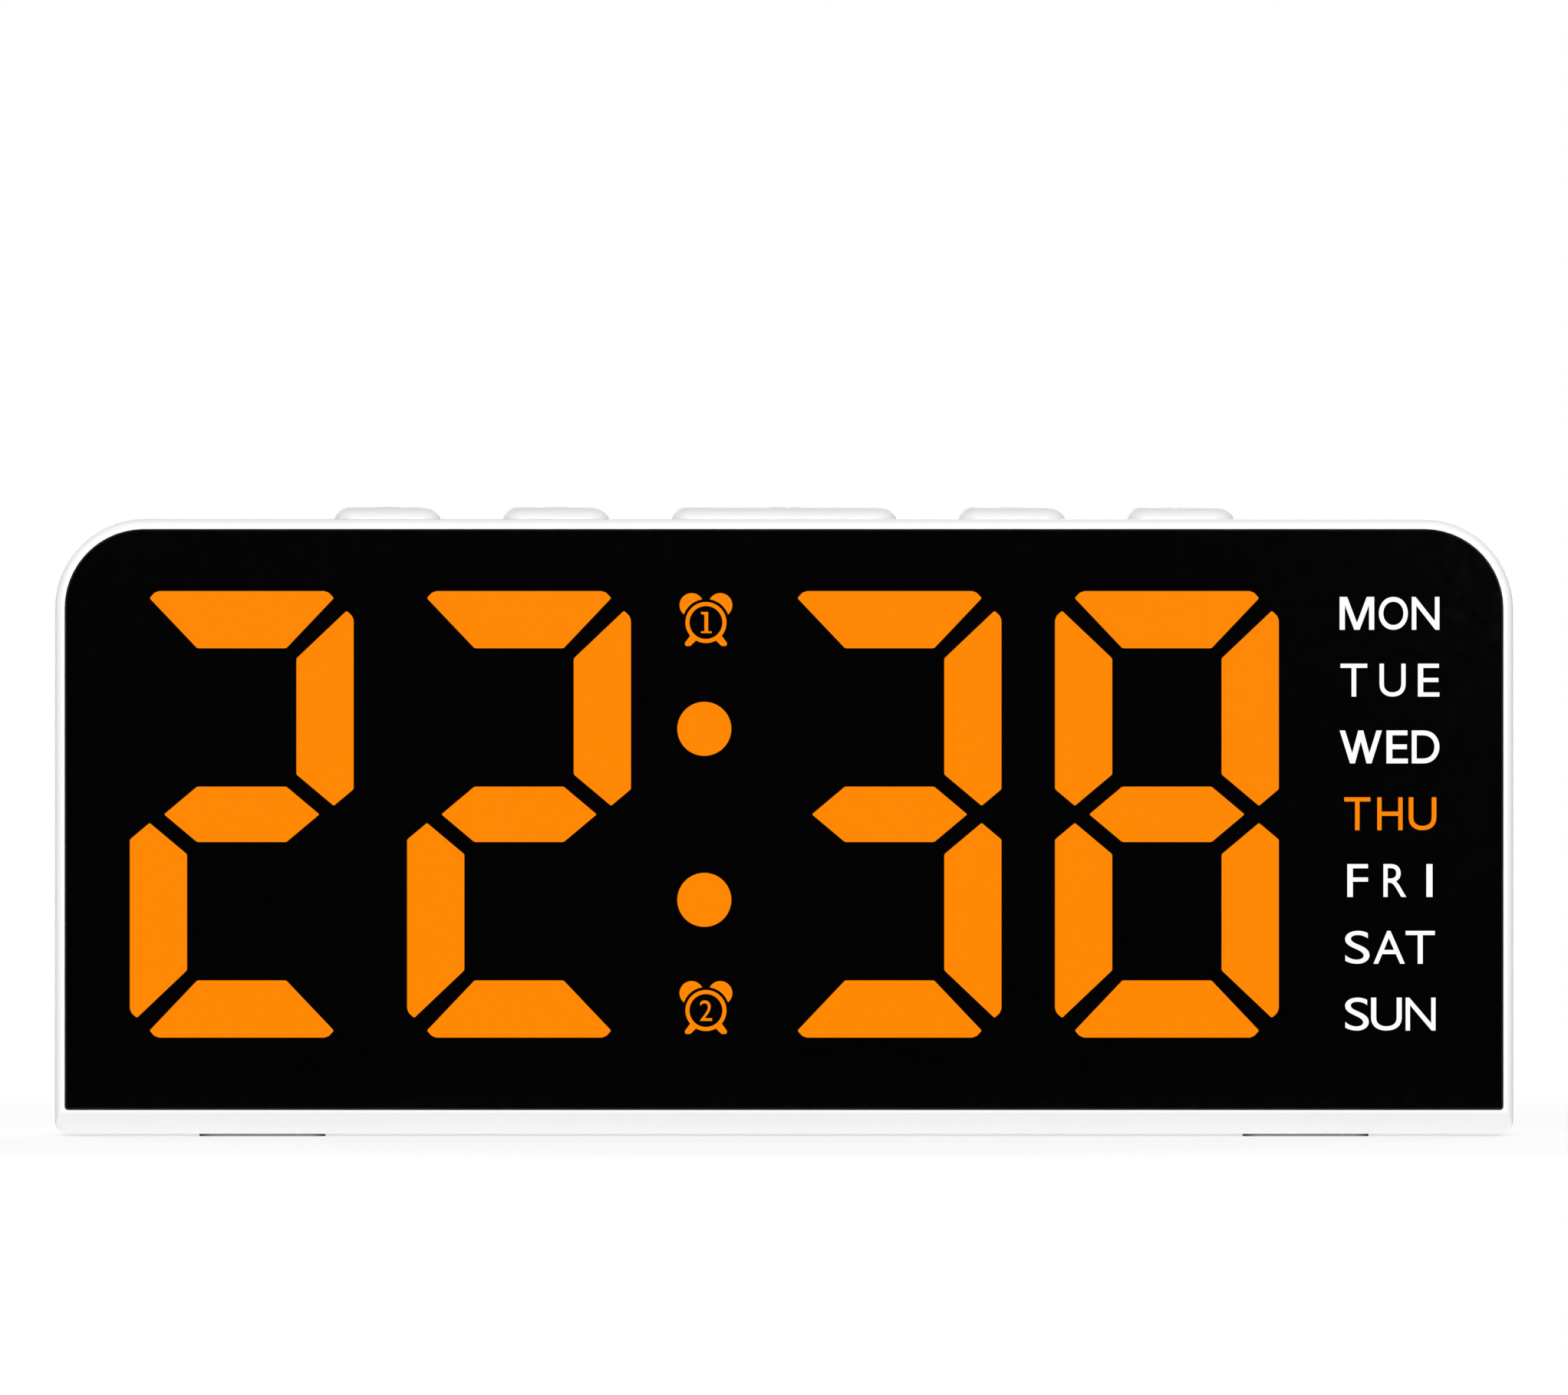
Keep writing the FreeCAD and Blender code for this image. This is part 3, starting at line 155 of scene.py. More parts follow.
def make_camera():
    """Level camera with a long lens, square on to the front."""
    place = (0, lens_low.y - camera_distance, camera_height)
    bpy.ops.object.camera_add(location=place, rotation=upright)
    camera = bpy.context.object
    camera.name = "camera"
    camera.data.sensor_fit = "HORIZONTAL"
    camera.data.sensor_width = sensor_width
    camera.data.lens = sensor_width * camera_distance / view_width
    camera.data.clip_end = far_limit
    bpy.context.scene.camera = camera


def seen_directly(tree):
    """1 where the camera looks straight or through glass, 0 for all other light."""
    ray = tree.nodes.new("ShaderNodeLightPath")
    return calculated(tree, "MAXIMUM", ray.outputs["Is Camera Ray"],
                      ray.outputs["Is Transmission Ray"])


def make_floor():
    """Small white table top that keeps the clock's shadow."""
    bpy.ops.mesh.primitive_plane_add(size=1, location=floor_middle)
    floor = bpy.context.object
    floor.name = "table_top"
    floor.scale = floor_size
    bpy.ops.object.transform_apply(location=True, rotation=True, scale=True)
    material = bpy.data.materials.new("white_table")
    material.use_nodes = True
    tree = material.node_tree
    tree.nodes.clear()
    seen = seen_directly(tree)
    glow = tree.nodes.new("ShaderNodeEmission")
    feed(tree, glow.inputs["Strength"], calculated(tree, "MULTIPLY", seen, floor_glow))
    matte = tree.nodes.new("ShaderNodeBsdfDiffuse")
    feed(tree, matte.inputs["Color"], mixed(tree, "RGBA", seen, floor_grey, floor_seen_grey))
    both = tree.nodes.new("ShaderNodeAddShader")
    tree.links.new(matte.outputs[0], both.inputs[0])
    tree.links.new(glow.outputs[0], both.inputs[1])
    end = tree.nodes.new("ShaderNodeOutputMaterial")
    tree.links.new(both.outputs[0], end.inputs["Surface"])
    floor.data.materials.append(material)


def make_lamp(name, place, size, power):
    """Square soft lamp aimed at the clock."""
    bpy.ops.object.light_add(type="AREA", location=place)
    lamp = bpy.context.object
    lamp.name = name
    lamp.rotation_euler = (lamp_aim - Vector(place)).to_track_quat("-Z", "Y").to_euler()
    lamp.data.size = size
    lamp.data.energy = power
    lamp.visible_camera = False


def make_world():
    """White behind everything, a plain fill, and soft reflections that are darkest in front."""
    world = bpy.data.worlds.new("studio")
    bpy.context.scene.world = world
    world.use_nodes = True
    tree = world.node_tree
    tree.nodes.clear()
    direction = axes_of(tree, tree.nodes.new("ShaderNodeTexCoord").outputs["Generated"])
    front = ranged(tree, direction["Y"], front_reach, smooth=True)
    sky = ranged(tree, direction["Z"], sky_reach, (low_sky, 1.0), smooth=True)
    mirrored = calculated(tree, "MULTIPLY", front, sky)
    ray = tree.nodes.new("ShaderNodeLightPath")
    fill = mixed(tree, "FLOAT", ray.outputs["Is Glossy Ray"], plain_fill, mirrored)
    background = tree.nodes.new("ShaderNodeBackground")
    background.inputs["Color"].default_value = full_white
    feed(tree, background.inputs["Strength"], mixed(tree, "FLOAT", seen_directly(tree), fill, 1.0))
    end = tree.nodes.new("ShaderNodeOutputWorld")
    tree.links.new(background.outputs[0], end.inputs["Surface"])


bpy.context.scene.view_settings.view_transform = "Standard"
make_camera()
make_floor()
make_world()
for name, place, size, power in lamps:
    make_lamp(name, place, size, power)


# ------------------------------------------------------------------ finishes: shared effects
skin_detail = {"Grain": 2, "Wave": 1}
cloud_size, cloud_detail = 0.025, 3      # blobs in which a colour drifts
gloss_size, gloss_detail = 0.0015, 4     # blobs in which a roughness drifts
dust_size, dust_detail = 0.0008, 5       # specks of dust
dust_colour = (0.62, 0.6, 0.57, 1)
dust_slope = (0.6, 1.0)       # how far a face has to look up to hold dust
number, tint = "NodeSocketFloat", "NodeSocketColor"


def new_group(name, inputs, outputs):
    """Empty node group with named sockets. Every use of it sets all of its inputs."""
    group = bpy.data.node_groups.new(name, "ShaderNodeTree")
    for side, sockets in (("INPUT", inputs), ("OUTPUT", outputs)):
        for socket_name, kind in sockets.items():
            group.interface.new_socket(socket_name, in_out=side, socket_type=kind)
    return group, group.nodes.new("NodeGroupInput"), group.nodes.new("NodeGroupOutput")


def make_skin_group():
    """Skin of a moulded plastic: fine grain over a slow waviness."""
    inputs = dict.fromkeys(("Grain Scale", "Grain", "Wave Scale", "Wave"), number)
    group, start, end = new_group("moulded_skin", inputs, {"Height": number})
    heights = []
    for name, detail in skin_detail.items():
        noise = noise_on_object(group, start.outputs[name + " Scale"], detail)
        heights.append(calculated(group, "MULTIPLY", noise, start.outputs[name]))
    feed(group, end.inputs["Height"], calculated(group, "ADD", *heights))
    return group


def make_drift_group():
    """Slow drift of a colour and of its roughness, as in any real batch of plastic or ink."""
    inputs = {"Colour": tint, "Second Colour": tint, "Roughness": number,
              "Roughness Spread": number}
    group, start, end = new_group("finish_drift", inputs, {"Colour": tint, "Roughness": number})
    cloud = noise_on_object(group, 1 / cloud_size, cloud_detail)
    feed(group, end.inputs["Colour"],
         mixed(group, "RGBA", cloud, start.outputs["Colour"], start.outputs["Second Colour"]))
    speck = noise_on_object(group, 1 / gloss_size, gloss_detail)
    feed(group, end.inputs["Roughness"],
         calculated(group, "MULTIPLY_ADD", speck, start.outputs["Roughness Spread"],
                    start.outputs["Roughness"]))
    return group


def make_dust_group():
    """Thin dust that settles on faces that look up."""
    inputs = {"Colour": tint, "Dust": number}
    group, start, end = new_group("settled_dust", inputs, {"Colour": tint})
    normal = axes_of(group, group.nodes.new("ShaderNodeNewGeometry").outputs["Normal"])
    speck = noise_on_object(group, 1 / dust_size, dust_detail)
    thick = calculated(group, "MULTIPLY", ranged(group, normal["Z"], dust_slope), speck)
    share = calculated(group, "MULTIPLY", thick, start.outputs["Dust"])
    feed(group, end.inputs["Colour"],
         mixed(group, "RGBA", share, start.outputs["Colour"], dust_colour))
    return group


moulded_skin = make_skin_group()
finish_drift = make_drift_group()
settled_dust = make_dust_group()


# ------------------------------------------------------------------ finishes: materials
acrylic_ior = 1.49
metal_wave = (0.002, 0.3)
glow_skin = ((0.0004, 0.2), (0.006, 0.6), (0.02, 0.0002))    # grain, wave and bump
glow_gloss = (0.05, 0.04)     # roughness and its spread
glow_drift = 0.8              # a glow's second colour, as a share of its first
band_core = 0.5               # share of a painted shade band's width that has its full shade
wave_repeat = 0.314           # a wave texture of scale 1 repeats after this length
stripe_blur = 0.08
wrap_edge = (0.0178, 0.018)   # where a cell's wrap ends, out from its middle
bare_steel = (0.55, 0.56, 0.57)
# painted shade along the parting line where the bezel meets the rear housing
seam_width = 0.00009
seam_shade = 0.25
# painted shade at the bottom of the screws' cross recesses
recess_depth = 0.0006         # of the screws' cross recesses
recess_width = 0.00045
recess_shade = 0.06
door_screw_lean = 0.00015     # how far the leaning head's middle lies in from its lower edge


def shader_of(material):
    """The Principled shader of a material."""
    return material.node_tree.nodes["Principled BSDF"]


def place_group(tree, group, values):
    """One use of a shared effect, with its own values."""
    node = tree.nodes.new("ShaderNodeGroup")
    node.node_tree = group
    for socket_name, value in values.items():
        feed(tree, node.inputs[socket_name], value)
    return node


def moulded(name, colour, second, roughness, spread, grain, wave, bump, dust=0.0):
    """Plastic, rubber or paint: drifting colour and roughness, a skin and a little dust."""
    material = bpy.data.materials.new(name)
    material.use_nodes = True
    tree, shader = material.node_tree, shader_of(material)
    drift = place_group(tree, finish_drift, {"Colour": (*colour, 1), "Second Colour": (*second, 1),
                                             "Roughness": roughness, "Roughness Spread": spread})
    base = drift.outputs["Colour"]
    if dust:
        base = place_group(tree, settled_dust, {"Colour": base, "Dust": dust}).outputs["Colour"]
    tree.links.new(base, shader.inputs["Base Color"])
    tree.links.new(drift.outputs["Roughness"], shader.inputs["Roughness"])
    skin = place_group(tree, moulded_skin, {"Grain Scale": 1 / grain[0], "Grain": grain[1],
                                            "Wave Scale": 1 / wave[0], "Wave": wave[1]})
    relief = tree.nodes.new("ShaderNodeBump")
    relief.inputs["Strength"].default_value, relief.inputs["Distance"].default_value = bump
    tree.links.new(skin.outputs["Height"], relief.inputs["Height"])
    tree.links.new(relief.outputs["Normal"], shader.inputs["Normal"])
    return material


def make_metal(name, colour, second, roughness, spread, grain, bump):
    """Bare or plated metal."""
    material = moulded(name, colour, second, roughness, spread, grain, metal_wave, bump)
    shader_of(material).inputs["Metallic"].default_value = 1.0
    return material


def make_glow(name, colour, base, strength):
    """Glowing print under a gloss: plain light from a surface with a skin like the lens's. The lit
    segments glow for real; the weekday words' white print glows as painted light.
    """
    second = [share * glow_drift for share in base]
    material = moulded(name, base, second, *glow_gloss, *glow_skin)
    shader = shader_of(material)
    shader.inputs["Emission Color"].default_value = (*colour, 1)
    shader.inputs["Emission Strength"].default_value = strength
    shader.inputs["IOR"].default_value = acrylic_ior
    return material


def lay_over(material, share, colour):
    """Another colour over a material's base colour, as far as share says."""
    tree, base = material.node_tree, shader_of(material).inputs["Base Color"]
    feed(tree, base, mixed(tree, "RGBA", share, base.links[0].from_socket, (*colour, 1)))


def add_painted_shade_band(material, line_y, width, shade):
    """Grey band of painted shade about one depth, out to width on either side: the shade in a
    parting groove, and the shade at the bottom of a recess."""
    tree = material.node_tree
    away = calculated(tree, "SUBTRACT", axes_of(tree, object_place(tree))["Y"], line_y)
    distance = calculated(tree, "ABSOLUTE", away)
    share = ranged(tree, distance, (width * band_core, width), (1.0, 0.0), smooth=True)
    lay_over(material, share, (shade, shade, shade))


def add_stripes(material, pitch, colour, share):
    """Stripes of another colour across X."""
    tree = material.node_tree
    wave = tree.nodes.new("ShaderNodeTexWave")
    wave.bands_direction = "X"
    wave.inputs["Scale"].default_value = wave_repeat / pitch
    tree.links.new(object_place(tree), wave.inputs["Vector"])
    crest = (1 - share, 1 - share + stripe_blur)
    lay_over(material, ranged(tree, wave.outputs["Fac"], crest), colour)


def bare_ends(material):
    """Bare metal where a cell's printed wrap ends."""
    tree = material.node_tree
    far = calculated(tree, "ABSOLUTE", axes_of(tree, object_place(tree))["X"])
    bare = ranged(tree, far, wrap_edge)
    lay_over(material, bare, bare_steel)
    tree.links.new(bare, shader_of(material).inputs["Metallic"])


# Each finish: colour, second colour, roughness, its spread, grain (size, amount),
# wave (size, amount), bump (strength, distance) and, where dust settles, how much.
white = (0.87, 0.87, 0.875)
plastics = {
    "white_shell": (white, (0.855, 0.856, 0.865), 0.3, 0.06,
                    (0.00035, 0.4), (0.005, 0.5), (0.05, 0.0003), 0.12),
    "white_back": (white, (0.845, 0.846, 0.855), 0.42, 0.2,
                   (0.00028, 1.0), (0.006, 0.3), (0.22, 0.0003), 0.18),
    # the caps are the shell's white plastic, made greyer here: painted shade
    "white_button": ((0.8, 0.8, 0.8), (0.785, 0.787, 0.795), 0.34, 0.06,
                     (0.0003, 0.7), (0.004, 0.4), (0.08, 0.0002), 0.12),
    "button_print": ((0.1, 0.1, 0.105), (0.13, 0.13, 0.135), 0.45, 0.1,
                     (0.0003, 0.7), (0.004, 0.4), (0.08, 0.0002), 0.12),
    "smoked_lens": ((0.001, 0.001, 0.0011), (0.0006, 0.0006, 0.0007), 0.02, 0.06,
                    (0.0005, 0.2), (0.008, 0.6), (0.012, 0.0003)),
    "tape": ((0.02, 0.02, 0.02), (0.03, 0.03, 0.03), 0.8, 0.1,
             (0.0002, 1.0), (0.003, 0.3), (0.3, 0.0001)),
    "mask": ((0.006, 0.006, 0.006), (0.01, 0.01, 0.01), 0.6, 0.15,
             (0.0002, 0.7), (0.004, 0.3), (0.2, 0.0001)),
    "reflector": ((0.75, 0.75, 0.74), (0.7, 0.7, 0.69), 0.5, 0.15,
                  (0.0003, 0.6), (0.004, 0.3), (0.15, 0.0002)),
    "guide": ((0.6, 0.58, 0.54), (0.55, 0.53, 0.5), 0.35, 0.1,
              (0.0003, 0.4), (0.003, 0.4), (0.1, 0.0002)),
    "led": ((0.75, 0.55, 0.12), (0.7, 0.6, 0.3), 0.3, 0.1,
            (0.0003, 0.4), (0.002, 0.4), (0.1, 0.0001)),
    "circuit_board": ((0.012, 0.11, 0.05), (0.008, 0.08, 0.038), 0.3, 0.1,
                      (0.0003, 0.3), (0.004, 0.4), (0.15, 0.0001)),
    "chip_black": ((0.015, 0.015, 0.016), (0.022, 0.022, 0.023), 0.55, 0.2,
                   (0.00015, 1.0), (0.003, 0.2), (0.3, 0.0001)),
    "capacitor_sleeve": ((0.015, 0.03, 0.09), (0.01, 0.02, 0.07), 0.25, 0.1,
                         (0.0004, 0.3), (0.003, 0.4), (0.1, 0.0001)),
    "connector": ((0.68, 0.63, 0.5), (0.62, 0.57, 0.45), 0.45, 0.1,
                  (0.0003, 0.5), (0.003, 0.3), (0.15, 0.0001)),
    "ribbon": ((0.4, 0.4, 0.41), (0.36, 0.36, 0.37), 0.5, 0.1,
               (0.0003, 0.3), (0.003, 0.3), (0.1, 0.0001)),
    "plunger": ((0.02, 0.02, 0.02), (0.03, 0.03, 0.03), 0.4, 0.1,
                (0.0002, 0.6), (0.002, 0.3), (0.15, 0.0001)),
    "cell_wrap": ((0.008, 0.07, 0.1), (0.006, 0.055, 0.085), 0.28, 0.08,
                  (0.0004, 0.3), (0.004, 0.4), (0.1, 0.0001)),
    "red_lead": ((0.5, 0.015, 0.012), (0.42, 0.012, 0.01), 0.35, 0.1,
                 (0.0003, 0.4), (0.003, 0.3), (0.1, 0.0001)),
    "black_lead": ((0.015, 0.015, 0.015), (0.025, 0.025, 0.025), 0.35, 0.1,
                   (0.0003, 0.4), (0.003, 0.3), (0.1, 0.0001)),
    "foot_rubber": ((0.74, 0.74, 0.73), (0.7, 0.7, 0.69), 0.6, 0.15,
                    (0.0003, 1.0), (0.003, 0.3), (0.35, 0.0001)),
}

# Each metal: the same without a wave or dust.
steel = ((0.5, 0.5, 0.52), (0.4, 0.4, 0.42), 0.25, 0.2, (0.0002, 0.8), (0.1, 0.0001))
metals = {
    "steel": steel,
    "case_screw_steel_with_painted_shade": steel,
    "door_screw_steel_with_painted_shade": steel,
    "nickel": ((0.66, 0.63, 0.57), (0.6, 0.57, 0.52), 0.2, 0.15, (0.0003, 0.6), (0.08, 0.0001)),
    "can": ((0.6, 0.6, 0.6), (0.52, 0.52, 0.52), 0.3, 0.15, (0.0002, 0.8), (0.1, 0.0001)),
}

# Each glow: light, base colour and strength.
glows = {
    "orange_light": ((1.0, 0.243, 0.0002), (0.03, 0.008, 0.0006), 0.98),
    # the weekday words' white print, given a glow of its own: painted light
    "white_light": ((1.0, 1.0, 1.0), (0.03, 0.03, 0.03), 0.96),
}

# Stripes: pitch, colour and share. The board has tracks under its paint, the ribbon its wires.
stripes = {
    "circuit_board": (0.0019, (0.03, 0.2, 0.09), 0.16),
    "ribbon": (0.001, (0.15, 0.15, 0.16), 0.4),
}

finish = {name: moulded(name, *recipe) for name, recipe in plastics.items()}
finish.update({name: make_metal(name, *recipe) for name, recipe in metals.items()})
finish.update({name: make_glow(name, *recipe) for name, recipe in glows.items()})
shader_of(finish["smoked_lens"]).inputs["IOR"].default_value = acrylic_ior
for name, recipe in stripes.items():
    add_stripes(finish[name], *recipe)
bare_ends(finish["cell_wrap"])
# painted shade along the parting line on both white shells
for name in ("white_shell", "white_back"):
    add_painted_shade_band(finish[name], case_high.y, seam_width, seam_shade)
# painted shade at the bottom of each screw's cross recess
for name, head_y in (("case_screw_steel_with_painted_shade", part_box("case_screws")[1].y),
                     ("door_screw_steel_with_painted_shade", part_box("battery_door_screw")[1].y - door_screw_lean)):
    add_painted_shade_band(finish[name], head_y - recess_depth, recess_width, recess_shade)

dressed = {
    "white_shell": ["front_bezel"],
    "white_back": ["rear_housing", "battery_door"],
    "white_button": [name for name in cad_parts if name.endswith("button")],
    "tape": ["lens_tape"],
    "mask": ["mask_film"],
    "reflector": ["display_reflector"],
    "guide": [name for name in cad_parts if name.endswith("light_guides")],
    "led": ["display_leds"],
    "circuit_board": ["display_board", "key_board", "power_board"],
    "chip_black": ["clock_chip", "driver_chips", "buzzer", "key_switches", "power_socket_tongue"],
    "steel": ["display_board_screws", "key_board_screws", "power_board_screws"],
    "case_screw_steel_with_painted_shade": ["case_screws"],
    "door_screw_steel_with_painted_shade": ["battery_door_screw"],
    "nickel": ["battery_springs", "battery_contacts", "power_socket"],
    "can": ["crystal"],
    "capacitor_sleeve": ["capacitors"],
    "connector": ["ribbon_plugs"],
    "ribbon": ["key_ribbon"],
    "plunger": [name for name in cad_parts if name.endswith("plunger")],
    "cell_wrap": ["lower_cell", "middle_cell", "upper_cell"],
    "red_lead": ["battery_lead_red", "power_leads"],
    "black_lead": ["battery_lead_black"],
    "foot_rubber": ["rubber_feet"],
}
for finish_name, node_names in dressed.items():
    for node_name in node_names:
        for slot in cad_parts[node_name].material_slots:
            slot.material = finish[finish_name]


# ------------------------------------------------------------------ modelling helpers
round_steps = 3               # of a printed plate's small roundings
type_steps = 8                # of each curve in a letter
disc_sides = 64


def pick_nothing():
    """Leave edit mode and select nothing."""
    if bpy.context.object and bpy.context.object.mode != "OBJECT":
        bpy.ops.object.mode_set(mode="OBJECT")
    bpy.ops.object.select_all(action="DESELECT")


def pick(piece):
    """Make one object the only one selected, and active."""
    pick_nothing()
    piece.select_set(True)
    bpy.context.view_layer.objects.active = piece


def pick_all_of(piece, kind="VERT"):
    """Enter edit mode with the whole mesh selected."""
    pick(piece)
    bpy.ops.object.mode_set(mode="EDIT")
    bpy.ops.mesh.select_mode(type=kind)
    bpy.ops.mesh.select_all(action="SELECT")


def settle(piece):
    """Put the object's place, turn and scale into its mesh."""
    pick(piece)
    bpy.ops.object.transform_apply(location=True, rotation=True, scale=True)


def close_up(piece):
    """Merge doubles and turn every face outwards."""
    pick_all_of(piece)
    bpy.ops.mesh.remove_doubles(threshold=merge_distance)
    bpy.ops.mesh.normals_make_consistent(inside=False)
    bpy.ops.object.mode_set(mode="OBJECT")


def thicken(sheet, lift):
    """Give a flat sheet its thickness along lift."""
    pick_all_of(sheet)
    bpy.ops.mesh.extrude_region_move(TRANSFORM_OT_translate={"value": lift})
    bpy.ops.mesh.select_all(action="SELECT")
    bpy.ops.mesh.normals_make_consistent(inside=False)
    bpy.ops.object.mode_set(mode="OBJECT")


def pick_edges(piece, wanted):
    """Enter edit mode with those edges selected whose two ends pass the test."""
    pick_all_of(piece, "EDGE")
    bpy.ops.mesh.select_all(action="DESELECT")
    bpy.ops.object.mode_set(mode="OBJECT")
    points = piece.data.vertices
    for edge in piece.data.edges:
        edge.select = wanted(points[edge.vertices[0]].co, points[edge.vertices[1]].co)
    bpy.ops.object.mode_set(mode="EDIT")


def pick_faces(piece, wanted):
    """Enter edit mode with those faces selected that pass the test."""
    pick_all_of(piece, "FACE")
    bpy.ops.mesh.select_all(action="DESELECT")
    bpy.ops.object.mode_set(mode="OBJECT")
    for face in piece.data.polygons:
        face.select = wanted(face)
    bpy.ops.object.mode_set(mode="EDIT")


def smooth_shading(piece, degrees):
    """Smooth shading over all edges flatter than this."""
    pick(piece)
    bpy.ops.object.shade_smooth_by_angle(angle=math.radians(degrees))


def copy_of(piece, name, shift):
    """Copy with a mesh of its own, moved by shift."""
    pick(piece)
    bpy.ops.object.duplicate(linked=False)
    twin = bpy.context.object
    twin.name = name
    twin.location = shift
    settle(twin)
    return twin


def joined(name, pieces):
    """Several objects made one."""
    pick_nothing()
    for piece in pieces:
        piece.select_set(True)
    bpy.context.view_layer.objects.active = pieces[0]
    if len(pieces) > 1:
        bpy.ops.object.join()
    pieces[0].name = name
    return pieces[0]


def finished(piece, finish_name, body):
    """Give a piece its finish and the body that it rides on."""
    piece.data.materials.clear()
    piece.data.materials.append(finish[finish_name])
    piece.data.name = piece.name
    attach(piece, body)


def printed_plate(name, outline, corner):
    """Thin plate on the lens from a convex outline in X and Z, cut from a sheet side by side."""
    across = [x for x, z in outline]
    upward = [z for x, z in outline]
    centre = ((min(across) + max(across)) / 2, print_y, (min(upward) + max(upward)) / 2)
    pick_nothing()
    bpy.ops.mesh.primitive_plane_add(size=1, location=centre, rotation=upright)
    plate = bpy.context.object
    plate.name = name
    plate.scale = (max(across) - min(across), max(upward) - min(upward), 1)
    settle(plate)
    pick_all_of(plate)
    for index, start in enumerate(outline):
        end = outline[(index + 1) % len(outline)]
        side = Vector((end[1] - start[1], 0, start[0] - end[0])).normalized()
        bpy.ops.mesh.select_all(action="SELECT")
        bpy.ops.mesh.bisect(plane_co=(start[0], print_y, start[1]), plane_no=side,
                            clear_outer=True, threshold=merge_distance)
    bpy.ops.mesh.select_all(action="SELECT")
    bpy.ops.mesh.remove_doubles(threshold=merge_distance)
    bpy.ops.mesh.bevel(offset=corner, segments=round_steps, affect="VERTICES")
    bpy.ops.object.mode_set(mode="OBJECT")
    thicken(plate, print_lift)
    return plate


def round_sheet(name, x, z, radius, sides=disc_sides):
    """Flat disc on the lens."""
    pick_nothing()
    bpy.ops.mesh.primitive_circle_add(vertices=sides, radius=radius, fill_type="NGON",
                                      location=(x, print_y, z), rotation=upright)
    disc = bpy.context.object
    disc.name = name
    settle(disc)
    return disc


def flat_sheet(name, outline):
    """Flat sheet from any outline in X and Y: a filled curve made a mesh."""
    pick_nothing()
    curve = bpy.data.curves.new(name, "CURVE")
    curve.dimensions = "2D"
    curve.fill_mode = "BOTH"
    line = curve.splines.new("POLY")
    line.points.add(len(outline) - 1)
    for point, (x, y) in zip(line.points, outline):
        point.co = (x, y, 0, 1)
    line.use_cyclic_u = True
    sheet = bpy.data.objects.new(name, curve)
    bpy.context.collection.objects.link(sheet)
    pick(sheet)
    bpy.ops.object.convert(target="MESH")
    sheet = bpy.context.object
    close_up(sheet)
    return sheet


def cut_out(name, outline):
    """Plate on the lens from any outline in X and Z."""
    sheet = flat_sheet(name, outline)
    sheet.rotation_euler = upright
    sheet.location = (0, print_y, 0)
    settle(sheet)
    thicken(sheet, print_lift)
    return sheet


def make_glyph(name, letter, box, swell):
    """Letter or numeral, strokes swelled, fitted to its box (left, right, bottom, top)."""
    pick_nothing()
    bpy.ops.object.text_add(rotation=upright)
    glyph = bpy.context.object
    glyph.name = name
    glyph.data.body = letter
    glyph.data.resolution_u = type_steps
    glyph.data.offset = swell
    bpy.ops.object.convert(target="MESH")
    glyph = bpy.context.object
    settle(glyph)
    close_up(glyph)
    across = [vertex.co.x for vertex in glyph.data.vertices]
    upward = [vertex.co.z for vertex in glyph.data.vertices]
    left, right, bottom, top = box
    wide = (right - left) / (max(across) - min(across))
    high = (top - bottom) / (max(upward) - min(upward))
    glyph.scale = (wide, 1, high)
    glyph.location = (left - min(across) * wide, print_y, bottom - min(upward) * high)
    settle(glyph)
    thicken(glyph, print_lift)
    return glyph


# ------------------------------------------------------------------ front lens
lens_chamfer = 0.00012
lens_smooth_angle = 30
lens_corners = [              # at the top or not, radius, steps
    (True, 0.0087, 24),
    (False, 0.0003, 3),
]


def make_lens():
    """Glossy black front plate with round top corners and a fine polished edge."""
    low, high = lens_low + Vector((0, lens_chamfer, 0)), lens_high
    pick_nothing()
    bpy.ops.mesh.primitive_cube_add(size=1, location=(low + high) / 2)
    lens = bpy.context.object
    lens.name = "lens_plate"
    lens.scale = high - low
    settle(lens)
    for top, radius, steps in lens_corners:
        pick_edges(lens, lambda a, b: abs(a.y - b.y) > slack and (a.z > digit_centre_z) == top)
        bpy.ops.mesh.bevel(offset=radius, segments=steps, affect="EDGES")
    pick_faces(lens, lambda face: face.normal.y < -facing)
    bpy.ops.mesh.inset(thickness=lens_chamfer, depth=lens_chamfer)
    smooth_shading(lens, lens_smooth_angle)
    finished(lens, "smoked_lens", "casing")
    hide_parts("front_lens")


# ------------------------------------------------------------------ digits and colon
segment_stroke = 0.00635
middle_stroke = 0.00615
mitre = 0.00113
tip_run = 0.0013              # an outer corner's curve: where it leaves the straight edge,
tip_bend = (0.0008, 0.0002)   # where it bends (along the edge, in from it),
tip_end = (0.00028, 0.00078)  # and where it meets the mitre
waist_in = 0.0022             # the side segments' tips at a digit's waist
waist_half = 0.00095
waist_slope = 0.84
middle_tip_in = 0.0038
segment_round = 0.00014


